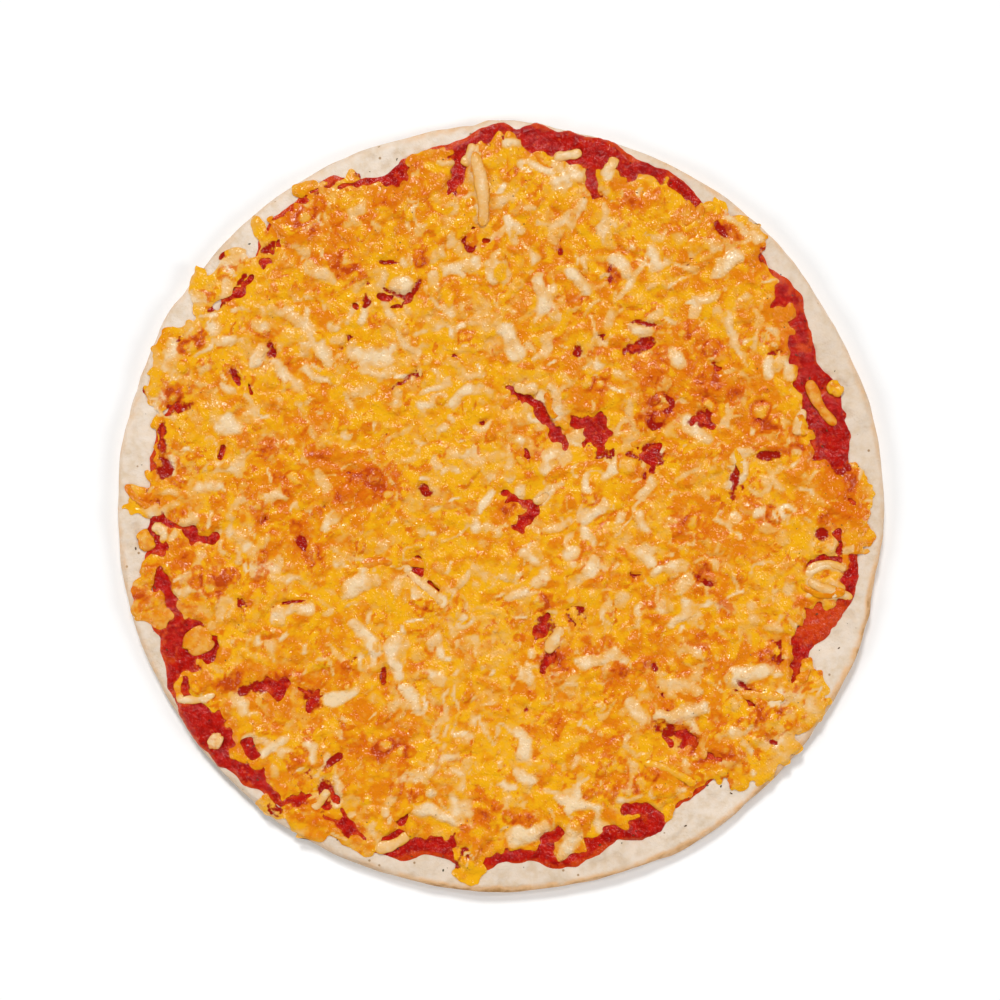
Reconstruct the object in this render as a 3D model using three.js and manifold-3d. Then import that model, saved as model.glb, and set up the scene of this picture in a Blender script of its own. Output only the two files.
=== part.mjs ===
// A ten inch four cheese pizza on a thin gluten-free base, seen by its pieces: the baked base, the tomato
// sauce spread on it, the melted cheese with its shreds, and the scraps of cheese that lie apart from it.
// Millimetres, +Z up. The origin is the middle of the underside, and +Y is the top of a plan view.
import * as THREE from "three";
import { mergeVertices } from "three/addons/utils/BufferGeometryUtils.js";
import Module from "manifold-3d";

const wasm = await Module();
wasm.setup();

// ---------------------------------------------------------------- driving dimensions

const BASE_RADIUS = 127; // half of ten inches
const BASE_THICKNESS = 6.6; // at the bare rim
const TOPPED_DIP = 0.5; // how much lower the base lies under its topping
const FOOT_ROUND = 2.6; // rounding from the underside into the side
const RIM_ROUND = 2.4; // rounding from the side onto the top
const RIM_CREST = 7; // how far in from the edge the bare rim is highest
const RIM_CROWN = 0.15; // how much higher it is there
const DIP_FROM = 12; // how far in from the edge the dip under the topping begins
const DIP_TO = 26; // and where it reaches its full depth
const RIM_RELIEF = 0.28; // height of the dimples and creases of the bare rim
const RELIEF_FROM = [1, 5]; // how far in from the edge they begin, and where they are full
const RELIEF_TO = [13, 20]; // where they begin to fade, and where they end
const DIMPLE_SCALE = 1.3; // how much closer together they lie than the cheese's swells

const SAUCE_THICKNESS = 1.1;
const SAUCE_ROUND = 1.6; // width of its rounded edge
const SAUCE_DROP = 0.5; // height of that edge

const CHEESE_THICKNESS = 2.1; // over the sauce, between its swells
const CHEESE_SWELL = 0.75; // height of the swells
const CHEESE_EDGE = 0.7; // its thickness at the very edge
const CHEESE_TAPER = 4.2; // width over which it falls to that
const CHEESE_LIP = 0.5; // how far past the edge that fall would end
// Spacing of the swells across and along, of the bends in their rows, and of the broad slanting ones.
const SWELL = { across: 4.3, along: 4.9, bendAcross: 9.1, bendAlong: 7.9, slant: 11.3, counterSlant: 8.7 };
const FINE_SWELL = 0.65; // share of the close swells in their height, the rest being the broad ones

const SHRED_LENGTH = [8, 17]; // shortest and longest melted shred
const SHRED_WIDTH = 4.2;
const SHRED_WIDTH_SPREAD = [0.8, 1.15]; // narrowest and widest, as shares of that
const SHRED_THICKNESS = 2.2;
const SHRED_SINK = 0.25; // share of that by which a shred's middle lies below the cheese's top
const SCRAP_RISE = 0.3; // share of it by which a loose scrap's middle lies above the sauce's top
const SHRED_CURL = 55; // most that a shred bends either way, in degrees
const SHRED_COUNT = 80; // places tried for shreds that show in the melt
const SHRED_SEED = 41;
const SHRED_MARGIN = 1.8; // how far inside the cheese's edge a shred lies
const SHRED_PROBES = [-0.35, 0, 0.35]; // shares of its length at which that is tested
const RADIUS_JITTER = 4; // how far a scattered shred may lie from its even place
const ANGLE_JITTER = 8; // the same round the middle, in degrees
const GOLDEN_TURN = 137.508; // degrees from one place of a sunflower spiral to the next

const CLEARANCE = 0.2; // gap kept between touching pieces

const BASE_SIDES = 90;
const SAUCE_SIDES = 102;
const CHEESE_CELL = 8.2; // grid of the cheese's top
const CHEESE_OUTLINE_STEPS = 168;
const GAP_OUTLINE_STEPS = 9;
const GAP_UNEVENNESS = 0.16; // how far a gap's outline departs from an oval
const PRISM_HEIGHT = 30; // of the prisms that cut the cheese, taller than the pizza

// Where the base's outline swells or draws in from a circle: [angle, half width in degrees, height].
const BASE_BUMPS = [
  [28, 26, -0.8], [89, 7, 1.6], [150, 6, 0.8], [163, 5, -0.8], [172, 7, 0.5], [226, 8, -0.5],
  [262, 32, -0.5], [300, 10, 0.6], [348, 9, -1.1],
];
const BASE_RIPPLE = { waves: 10, height: 0.2, crest: 14 };

// How far the sauce stops short of the base's edge, by sector: [from degree, to degree, width of rim].
const SAUCE_USUAL_RIM = 7.5;
const SAUCE_RAMP = 3.5; // degrees over which one rim passes into the next
const SAUCE_RIM = [
  [6, 10, 11.2], [23, 32, 10.8], [60, 65, 2.6], [69, 75, 2.2], [77, 81, 3.4], [84, 92, 1.2],
  [97, 103, 5.6], [107, 111, 10], [118, 127, 4.2], [134, 163, 12], [166, 180, 10.2], [182, 194, 9],
  [209, 223, 1.8], [230, 252, 5.3], [257, 262, 10], [270, 276, 9], [280, 282, 6.2], [286, 291, 11],
  [299, 328, 13.8], [332, 335, 17], [338, 342, 11.6], [346, 349, 5.2],
];

// How far the cheese stops short of the base's edge, in the same way, and how ragged that edge is: [waves
// in a turn, height].
const CHEESE_RAGS = [
  [41, 0.7],
  [67, 0.5],
];
const CHEESE_RAG_LIMIT = 0.5; // how far the rags may reach past the stated rim
const CHEESE_USUAL_RIM = 6;
const CHEESE_RAMP = 1.6;
const CHEESE_RIM = [
  [8, 19, 23], [21.5, 27, 19.5], [29, 37, 13.5], [45, 55, 1.6], [58, 61, 10], [66, 70, 12],
  [74, 86, 11.3], [95.5, 97.5, 17], [106, 111, 12.5], [130, 135, 11], [138, 144, 2.2], [147, 150, 7.5],
  [152, 160, 1.8], [167, 175, 12.5], [177, 179.5, 2], [182, 187.5, 16.5], [192, 197, 1.2],
  [198.5, 201, 10], [205, 207.5, 14], [210, 211.5, 3.6], [213, 220, 13.5], [226, 240, 1.6],
  [243, 248, 4.6], [251, 262.5, 16.5], [264, 265.5, 2.2], [267, 279, 15.5], [282, 297, 15.5],
  [300, 309, 15.2], [313, 331, 1.8], [334, 343, 22], [348, 351, 15], [353, 357, 4.6],
];

// Gaps in the cheese where the sauce shows: [x, y, length, width, turn in degrees].
const GAPS = [
  [8.2, 35.6, 15, 4.8, 148], [17.3, 26.4, 18, 5.8, 128], [30.7, 25.7, 12, 10.4, 95],
  [8.3, 18.3, 7.4, 5, 40], [9.7, -1.4, 15, 6, 66], [2.7, 4, 6.5, 3.6, 140], [49.2, 18, 10.5, 6.4, 118],
  [45.7, 54.2, 7.6, 4.4, 20], [66.4, 29, 6.6, 5, 143], [56.5, 31.4, 9.5, 3.2, 78],
  [75.7, 10, 9, 3.4, 100], [-27.7, -19.6, 6, 5.2, 130], [14.2, -40.8, 6.6, 4.8, 97],
  [-62.3, -64.1, 11, 4.4, 74], [-75.2, -58.5, 16, 7.4, 20], [-99.3, -9.8, 12, 5, 172],
  [60.9, -75.9, 9.4, 5.2, 37], [86.7, 32, 8, 4, 42], [-109.1, 32.8, 7, 5.6, 30], [-66.8, -96.4, 9, 7, 32],
  [-80.3, -89, 20, 5, 137], [-99.8, -44, 17, 16, 120], [-50.3, -105, 20, 5, 158],
  [114.7, -2, 10, 4.6, 80],
];

// Shreds that catch the eye, fused to the melt: [x, y, length, width, turn, bend in degrees].
const CHOSEN_SHREDS = [
  [-6.6, 105.6, 25, 4.6, 96, 8], [13.2, 71, 14, 5, 98, 0], [26.2, 75, 12, 4.6, 128, 20],
  [3.2, 56, 15, 6, 118, 14], [18.9, 36.6, 14, 4, 100, 110], [18.7, 18.5, 9.5, 5, 43, 0],
  [79.7, 11.2, 17, 4.2, 80, 190], [75.2, 81, 14, 4.6, 38, -16], [-62.8, 54, 14, 5.6, 122, 0],
  [-44.3, -40, 15, 5.6, 131, 22], [-35.8, -49, 16, 4.6, 98, -70], [-46.8, -25, 14, 5, 24, 0],
  [-98.3, -56.5, 19, 7.6, 32, 12], [-87.8, -72, 20, 6.4, 106, 0], [8.7, -107.2, 14.5, 6.8, 8, 14],
  [22.5, -109.5, 14, 5.4, 76, -10], [80.7, -55, 15, 6, 15, 40], [108.3, -25.4, 16, 4.6, 156, -16],
  [107.2, -18.6, 14, 4, 4, -120], [60.7, -68.5, 17, 4.6, 12, 70],
];

// Scraps of cheese that lie apart from the melt, on the sauce or the bare rim.
const SCRAPS = [
  { name: "shred_right", x: 105.6, y: 35, length: 16.5, width: 3.6, turn: 122, bend: 16, color: 0xf0a63a },
  { name: "crumb_right", x: 110.4, y: 39.8, length: 5.6, width: 4.2, turn: -30, color: 0xe8872c },
  { name: "shred_top", x: 22, y: 116.7, length: 9, width: 3.4, turn: 18, color: 0xf3d3b2 },
  { name: "disc_left", x: -100, y: -43.6, length: 9.6, width: 8.6, turn: 30, color: 0xf2b04a },
  { name: "crumb_lower_left", x: -94.3, y: -76.6, length: 5.4, width: 4.4, turn: 60, color: 0xefb58a },
  { name: "shred_bottom", x: -35.9, y: -110.4, length: 12, width: 4, turn: 20, bend: -10, color: 0xf0c9a0 },
  { name: "crumb_left", x: -117.4, y: -10.4, length: 7.2, width: 4.6, turn: 137, color: 0xefa04a },
];

// ---------------------------------------------------------------- measures in plan

const radians = THREE.MathUtils.degToRad;
const smooth = (from, to, value) => THREE.MathUtils.smoothstep(value, from, to);

/** Degrees from one angle to another, between -180 and 180. */
function turnBetween(from, to) {
  return ((((to - from) % 360) + 540) % 360) - 180;
}

/** Radius of the base at an angle in degrees. */
function baseEdge(angle) {
  const { waves, height: ripple, crest: start } = BASE_RIPPLE;
  let radius = BASE_RADIUS + ripple * Math.cos(waves * radians(angle - start));
  for (const [crest, halfWidth, height] of BASE_BUMPS) {
    radius += height * (1 - smooth(0, halfWidth, Math.abs(turnBetween(crest, angle))));
  }
  return radius;
}

/** Width of the rim left free at an angle, from a list of sectors. */
function rimAt(angle, sectors, usual, ramp) {
  let rim = usual;
  for (const [from, to, width] of sectors) {
    const outside = Math.abs(turnBetween((from + to) / 2, angle)) - (to - from) / 2;
    rim += (width - usual) * (1 - smooth(0, ramp, outside));
  }
  return rim;
}

const sauceEdge = (angle) => baseEdge(angle) - rimAt(angle, SAUCE_RIM, SAUCE_USUAL_RIM, SAUCE_RAMP);

/** Radius of the cheese, ragged by the rounded ends of its shreds. */
function cheeseEdge(angle) {
  let ragged = 0;
  for (const [waves, height] of CHEESE_RAGS) ragged += height * Math.sin(waves * radians(angle));
  const rim = rimAt(angle, CHEESE_RIM, CHEESE_USUAL_RIM, CHEESE_RAMP);
  return baseEdge(angle) - rim + Math.min(ragged, CHEESE_RAG_LIMIT);
}

/** Distance from a point to the edge of a gap, negative inside it. */
function gapDistance(x, y, [gapX, gapY, length, width, turn]) {
  const along = (x - gapX) * Math.cos(radians(turn)) + (y - gapY) * Math.sin(radians(turn));
  const across = (y - gapY) * Math.cos(radians(turn)) - (x - gapX) * Math.sin(radians(turn));
  return (Math.hypot((2 * along) / length, (2 * across) / width) - 1) * (width / 2);
}

/** Depth of a point inside the cheese's outline, past its gaps too. */
function depthInCheese(x, y) {
  const angle = THREE.MathUtils.radToDeg(Math.atan2(y, x));
  const toEdge = cheeseEdge(angle) - Math.hypot(x, y);
  return Math.min(toEdge, ...GAPS.map((gap) => gapDistance(x, y, gap)));
}

/** Low swells, between -1 and 1, where the melted shreds lie thicker. */
function swell(x, y) {
  const bentX = x / SWELL.across + 1.4 * Math.sin(y / SWELL.bendAlong);
  const bentY = y / SWELL.along + 1.2 * Math.sin(x / SWELL.bendAcross);
  const fine = Math.sin(bentX) * Math.cos(bentY);
  const broad = Math.sin((x + y) / SWELL.slant) * Math.cos((x - y) / SWELL.counterSlant);
  return THREE.MathUtils.lerp(broad, fine, FINE_SWELL);
}

const TOPPED_LEVEL = BASE_THICKNESS - TOPPED_DIP;
const SAUCE_LEVEL = TOPPED_LEVEL + SAUCE_THICKNESS;

/** Height of the cheese's top over a point in plan. */
function cheeseTop(x, y) {
  const fall = smooth(-CHEESE_LIP, CHEESE_TAPER, depthInCheese(x, y));
  const rise = CHEESE_THICKNESS - CHEESE_EDGE + CHEESE_SWELL * swell(x, y);
  return SAUCE_LEVEL + CHEESE_EDGE + fall * rise;
}

/** A repeatable draw of numbers between 0 and 1. */
function seededDraw(seed) {
  let state = seed;
  return () => {
    state = (state * 16807) % 2147483647;
    return state / 2147483647;
  };
}

// ---------------------------------------------------------------- solids

/** A closed geometry as a solid that can be joined and cut. */
function solidOf(geometry) {
  const bare = geometry.index ? geometry.toNonIndexed() : geometry;
  bare.deleteAttribute("normal");
  bare.deleteAttribute("uv");
  const merged = mergeVertices(bare, 1e-4);
  return new wasm.Manifold(
    new wasm.Mesh({
      numProp: 3,
      vertProperties: merged.attributes.position.array,
      triVerts: new Uint32Array(merged.index.array),
    }),
  );
}

/** The largest body of a solid, without loose scraps, as a geometry. */
function geometryOf(solid) {
  const [largest] = solid.decompose().sort((a, b) => b.volume() - a.volume());
  const mesh = largest.getMesh();
  const geometry = new THREE.BufferGeometry();
  geometry.setAttribute("position", new THREE.BufferAttribute(mesh.vertProperties, 3));
  geometry.setIndex(new THREE.BufferAttribute(mesh.triVerts, 1));
  geometry.computeVertexNormals();
  return geometry;
}

/** Moves every vertex of a geometry by a function of its place. */
function reshape(geometry, move) {
  const position = geometry.attributes.position;
  const point = new THREE.Vector3();
  for (let i = 0; i < position.count; i += 1) {
    point.fromBufferAttribute(position, i);
    move(point);
    position.setXYZ(i, point.x, point.y, point.z);
  }
  return geometry;
}

/** Profile points round part of an oval from one heading to the next, in degrees. */
function arc(centreX, centreY, width, height, from, to, steps) {
  return Array.from({ length: steps + 1 }, (_, i) => {
    const angle = radians(from + ((to - from) * i) / steps);
    return new THREE.Vector2(centreX + width * Math.cos(angle), centreY + height * Math.sin(angle));
  });
}

/** A profile turned round +Z, with its radii stretched to follow an edge. */
function turnedDisc(profile, sides, nominalRadius, edge) {
  const geometry = new THREE.LatheGeometry(profile, sides).rotateX(Math.PI / 2);
  return reshape(geometry, (point) => {
    const stretch = edge(THREE.MathUtils.radToDeg(Math.atan2(point.y, point.x))) / nominalRadius;
    point.x *= stretch;
    point.y *= stretch;
  });
}

/** The baked base, larger all round by grow. */
function baseSolid(grow = 0) {
  const radius = BASE_RADIUS + grow;
  const top = BASE_THICKNESS + grow;
  const profile = [
    new THREE.Vector2(0, 0),
    ...arc(radius - FOOT_ROUND, FOOT_ROUND, FOOT_ROUND, FOOT_ROUND, -90, 0, 3),
    ...arc(radius - RIM_ROUND, top - RIM_ROUND, RIM_ROUND, RIM_ROUND, 0, 90, 3),
    new THREE.Vector2(radius - RIM_CREST, top + RIM_CROWN),
    new THREE.Vector2(radius - DIP_FROM, top),
    new THREE.Vector2(radius - (DIP_FROM + DIP_TO) / 2, top - TOPPED_DIP * 0.7),
    new THREE.Vector2(radius - DIP_TO, top - TOPPED_DIP),
    new THREE.Vector2(0, top - TOPPED_DIP),
  ];
  const disc = turnedDisc(profile, BASE_SIDES, BASE_RADIUS, baseEdge);
  return solidOf(
    reshape(disc, (point) => {
      const inFromEdge = radius - Math.hypot(point.x, point.y);
      const bare = smooth(...RELIEF_FROM, inFromEdge) * (1 - smooth(...RELIEF_TO, inFromEdge));
      const dimple = swell(point.y * DIMPLE_SCALE, point.x * DIMPLE_SCALE);
      if (point.z > BASE_THICKNESS / 2) point.z += RIM_RELIEF * bare * dimple;
    }),
  );
}

/** The sauce before it is fitted to the base, larger all round by grow. */
function sauceSolid(grow = 0) {
  const radius = BASE_RADIUS + grow;
  const level = SAUCE_LEVEL + grow;
  const profile = [
    new THREE.Vector2(0, TOPPED_LEVEL - 1),
    new THREE.Vector2(radius, TOPPED_LEVEL - 1),
    ...arc(radius - SAUCE_ROUND, level - SAUCE_DROP, SAUCE_ROUND, SAUCE_DROP, 0, 90, 2),
    new THREE.Vector2(0, level),
  ];
  return solidOf(turnedDisc(profile, SAUCE_SIDES, BASE_RADIUS, sauceEdge));
}

/** A closed curve in plan as an upright prism that passes through everything. */
function prism(points) {
  const shape = new THREE.Shape(points);
  return solidOf(new THREE.ExtrudeGeometry(shape, { depth: PRISM_HEIGHT, bevelEnabled: false }));
}

function cheeseOutline() {
  return Array.from({ length: CHEESE_OUTLINE_STEPS }, (_, i) => {
    const angle = (360 * i) / CHEESE_OUTLINE_STEPS;
    const radius = cheeseEdge(angle);
    return new THREE.Vector2(radius * Math.cos(radians(angle)), radius * Math.sin(radians(angle)));
  });
}

/** The uneven outline of one gap: an oval with three soft corners. */
function gapOutline([x, y, length, width, turn], index) {
  return Array.from({ length: GAP_OUTLINE_STEPS }, (_, i) => {
    const angle = (2 * Math.PI * i) / GAP_OUTLINE_STEPS;
    const uneven = 1 + GAP_UNEVENNESS * Math.sin(3 * angle + index);
    const along = (length / 2) * uneven * Math.cos(angle);
    const across = (width / 2) * uneven * Math.sin(angle);
    return new THREE.Vector2(along, across).rotateAround(new THREE.Vector2(), radians(turn)).add({ x, y });
  });
}

/** One melted shred: a flattened capsule bent in plan and laid at the heights that bed gives. */
function shredSolid({ x, y, length, width, turn, bend = 0 }, bed) {
  const straight = Math.max(length - width, 0.1);
  const bends = length > 8 ? 2 : 1;
  const capsule = new THREE.CapsuleGeometry(width / 2, straight, 1, 6, bends).rotateZ(-Math.PI / 2);
  const curl = radians(bend) / length;
  return solidOf(
    reshape(capsule, (point) => {
      const heading = point.x * curl;
      const place = new THREE.Vector2(0, point.y).rotateAround(new THREE.Vector2(), heading);
      const isStraight = Math.abs(curl) < 1e-6;
      place.x += isStraight ? point.x : Math.sin(heading) / curl;
      place.y += isStraight ? 0 : (1 - Math.cos(heading)) / curl;
      place.rotateAround(new THREE.Vector2(), radians(turn));
      const height = (point.z / width) * SHRED_THICKNESS;
      point.set(x + place.x, y + place.y, bed(x + place.x, y + place.y) + height);
    }),
  );
}

/** Shreds spread evenly over the cheese along a sunflower spiral, each turned and bent by a seeded draw. */
function scatteredShreds() {
  const draw = seededDraw(SHRED_SEED);
  const reach = BASE_RADIUS - CHEESE_USUAL_RIM;
  const places = Array.from({ length: SHRED_COUNT }, (_, i) => {
    const radius = reach * Math.sqrt((i + 0.5) / SHRED_COUNT) + RADIUS_JITTER * (draw() - 0.5);
    const angle = radians(i * GOLDEN_TURN + ANGLE_JITTER * (draw() - 0.5));
    return {
      x: radius * Math.cos(angle),
      y: radius * Math.sin(angle),
      length: THREE.MathUtils.lerp(...SHRED_LENGTH, draw()),
      width: SHRED_WIDTH * THREE.MathUtils.lerp(...SHRED_WIDTH_SPREAD, draw()),
      turn: 180 * draw(),
      bend: 2 * SHRED_CURL * (draw() - 0.5),
    };
  });
  return places.filter(liesOnCheese);
}

/** Whether a shred's middle and both ends lie well inside the cheese. */
function liesOnCheese({ x, y, length, turn }) {
  return SHRED_PROBES.every((share) => {
    const along = share * length;
    const depth = depthInCheese(x + along * Math.cos(radians(turn)), y + along * Math.sin(radians(turn)));
    return depth > SHRED_MARGIN;
  });
}

/** The melted cheese: a swelling sheet with gaps, its shreds fused on, shaped beneath to what it lies on. */
function cheeseSolid(carriers) {
  const side = 2 * BASE_RADIUS;
  const cells = Math.round(side / CHEESE_CELL);
  const sheet = new THREE.BoxGeometry(side, side, 1, cells, cells, 1);
  reshape(sheet, (point) => {
    point.z = point.z > 0 ? cheeseTop(point.x, point.y) : BASE_THICKNESS / 2;
  });
  const gaps = wasm.Manifold.union(GAPS.map((gap, i) => prism(gapOutline(gap, i))));
  const outline = prism(cheeseOutline()).subtract(gaps);
  const bed = (x, y) => cheeseTop(x, y) - SHRED_SINK * SHRED_THICKNESS;
  const named = ([x, y, length, width, turn, bend]) => ({ x, y, length, width, turn, bend });
  const places = [...CHOSEN_SHREDS.map(named), ...scatteredShreds()];
  const shreds = places.map((shred) => shredSolid(shred, bed));
  return wasm.Manifold.union([solidOf(sheet).intersect(outline), ...shreds]).subtract(carriers);
}

// ---------------------------------------------------------------- the pizza

const pizza = new THREE.Group();

function addPiece(name, solid, color, roughness) {
  const material = new THREE.MeshStandardMaterial({ color, roughness, metalness: 0 });
  const mesh = new THREE.Mesh(geometryOf(solid), material);
  mesh.name = name;
  pizza.add(mesh);
}

const grownBase = baseSolid(CLEARANCE);
const grownCarriers = grownBase.add(sauceSolid(CLEARANCE));

addPiece("base", baseSolid(), 0xe8d9bf, 0.85);
addPiece("sauce", sauceSolid().subtract(grownBase), 0xb3170f, 0.35);
addPiece("cheese", cheeseSolid(grownCarriers), 0xf2a32c, 0.4);
for (const { name, color, ...shred } of SCRAPS) {
  const scrap = shredSolid(shred, () => SAUCE_LEVEL + SCRAP_RISE * SHRED_THICKNESS);
  addPiece(name, scrap.subtract(grownCarriers), color, 0.45);
}

export default pizza;
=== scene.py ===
"""A ten inch four cheese pizza, dressed for its picture.

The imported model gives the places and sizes. This script makes what is seen: the baked base with its pitted
rim, the wet tomato sauce, the melted and browned cheese, the shreds that lie in it and the scraps beside it.
Plans and reliefs are worked out in millimetres, and meshes are made in metres.
"""

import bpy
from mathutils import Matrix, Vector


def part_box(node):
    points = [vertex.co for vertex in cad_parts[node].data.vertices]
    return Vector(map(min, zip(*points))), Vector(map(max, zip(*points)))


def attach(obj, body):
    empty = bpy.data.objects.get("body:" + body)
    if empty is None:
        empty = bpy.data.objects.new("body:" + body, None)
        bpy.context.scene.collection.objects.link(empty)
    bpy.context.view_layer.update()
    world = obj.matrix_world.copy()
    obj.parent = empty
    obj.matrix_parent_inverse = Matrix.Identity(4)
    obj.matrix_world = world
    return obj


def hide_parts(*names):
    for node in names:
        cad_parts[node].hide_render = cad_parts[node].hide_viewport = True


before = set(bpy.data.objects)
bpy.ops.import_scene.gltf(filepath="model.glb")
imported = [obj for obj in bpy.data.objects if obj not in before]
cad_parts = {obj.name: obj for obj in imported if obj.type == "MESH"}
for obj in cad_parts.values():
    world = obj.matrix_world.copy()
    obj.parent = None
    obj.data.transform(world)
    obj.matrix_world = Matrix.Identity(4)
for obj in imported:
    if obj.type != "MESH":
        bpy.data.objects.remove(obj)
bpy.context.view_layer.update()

import logging
import math
from dataclasses import dataclass
from enum import Enum
from typing import Callable, Iterable, Sequence

import bpy
import numpy as np
from mathutils.bvhtree import BVHTree

LOG = logging.getLogger("pizza")
MM = 0.001
BODY = "root"

Array = np.ndarray
Piece = bpy.types.Object
Socket = bpy.types.NodeSocket
Window = tuple[slice, slice]  # rows and columns of a part of the plan grid
Heights = Callable[[Array, Array], Array]  # gives the heights at places in plan
Mould = tuple[Array, Array]  # vertices and faces of a shape that is copied

CHEESE_REACH = 122.0  # radius of the circle in which shreds fall, in millimetres

# ---- the photograph's frame

PIXEL = 0.33  # millimetres of the pizza in one pixel
MIDDLE_PX = (501.0, 509.0)  # where the pizza's middle shows
IMAGE_PX = 1000  # width and height of the picture


def on_plan(column: float, row: float) -> tuple[float, float]:
    """Returns the place in plan, in millimetres, of a pixel of the photograph."""
    return (column - MIDDLE_PX[0]) * PIXEL, (MIDDLE_PX[1] - row) * PIXEL


# Pale shreds that catch the eye: column and row of the middle, length, width, turn and, if it is bent, bend.
PALE_SHREDS_PX = [
    (481, 189, 25, 4.4, 96, 8), (511, 230, 12, 3.8, 102), (540, 166, 10, 3.6, -30), (512, 143, 7, 4.4, 10),
    (320, 273, 13, 4, 148), (320, 347, 14, 5.2, 122), (297, 320, 6, 4, 135), (402, 287, 9, 6.4, 20),
    (375, 357, 10, 6, 0), (432, 400, 10, 3.4, 31), (462, 394, 11, 3.4, 38), (282, 370, 8, 3, 110),
    (260, 357, 9, 3.4, 63), (227, 424, 10, 7, 30), (511, 342, 15, 5, 118, 14), (462, 267, 13, 4, 28),
    (541, 294, 14, 4.6, 97), (579, 281, 11, 4.4, 128, 20), (654, 256, 9, 4, 108),
    (728, 263, 14, 4.6, 38, -16), (526, 389, 8, 3.4, -4), (542, 399, 4.6, 4, 0),
    (558, 402, 13, 3.4, 98, 70), (557, 452, 9, 5, 43), (517, 443, 5, 3.4, 60), (518, 492, 5, 4, -20),
    (545, 495, 9, 3.6, 40, 60), (610, 470, 9, 3.4, 55), (648, 490, 10, 4, 52), (662, 456, 5, 4, 70),
    (642, 525, 7, 4, -40), (588, 488, 9, 2.6, 90), (594, 512, 12, 3.4, 42), (587, 536, 7, 5, -60),
    (645, 555, 9, 4, -50), (590, 566, 8, 4, 60), (569, 555, 6, 4, 20), (530, 557, 9, 3.6, -37),
    (673, 358, 9, 4, 143), (643, 328, 9, 3.4, -17), (695, 429, 13, 4.4, -31), (728, 420, 10, 3, 66),
    (766, 366, 8, 3.4, 80), (788, 369, 7, 3, 120), (800, 422, 9, 3, 75), (732, 331, 13, 3.4, 98),
    (745, 453, 7, 3.6, 5), (742, 475, 16, 3.6, 80, 170), (619, 265, 12, 4, -42), (359, 585, 14, 4.6, 24),
    (301, 610, 10, 3.6, 0), (366, 637, 14, 5, 131, 22), (393, 658, 16, 4.2, 98, -60),
    (411, 698, 10, 3.6, 110), (465, 620, 7, 4, 45), (425, 587, 17, 3, 137), (343, 697, 14, 3.8, 21),
    (437, 814, 16, 5, -19), (196, 700, 13, 2.6, 10, 40), (273, 747, 12, 3.6, 34), (321, 800, 8, 3.4, 45),
    (524, 743, 12, 4.8, 103), (528, 778, 8, 3.6, -37), (577, 803, 17, 3.4, -11), (574, 799, 11, 3, 62),
    (527, 834, 15, 6.4, 8, 14), (569, 842, 14, 5.2, 76, -10), (747, 676, 16, 5.6, 15, 30),
    (684, 716, 18, 4.2, 10, 60), (743, 728, 12, 3.8, 40, 80), (779, 699, 9, 4, 48),
    (775, 518, 16, 3.6, 10, 110), (830, 590, 16, 3.6, -22), (826, 563, 14, 3, 4, -110),
    (670, 568, 13, 4, 18), (555, 640, 10, 4.4, 63), (598, 660, 16, 4.4, 17), (588, 516, 8, 3.4, 39),
    (684, 616, 12, 3.6, 60, 150), (638, 711, 10, 4, 129), (238, 700, 12, 4, 110), (160, 530, 6, 4, -30),
    (190, 520, 8, 4, 40), (152, 514, 5, 4.4, 0), (470, 155, 8, 4.4, 60), (610, 168, 8, 4, 70),
    (560, 178, 7, 3.6, 20),
]

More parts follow.
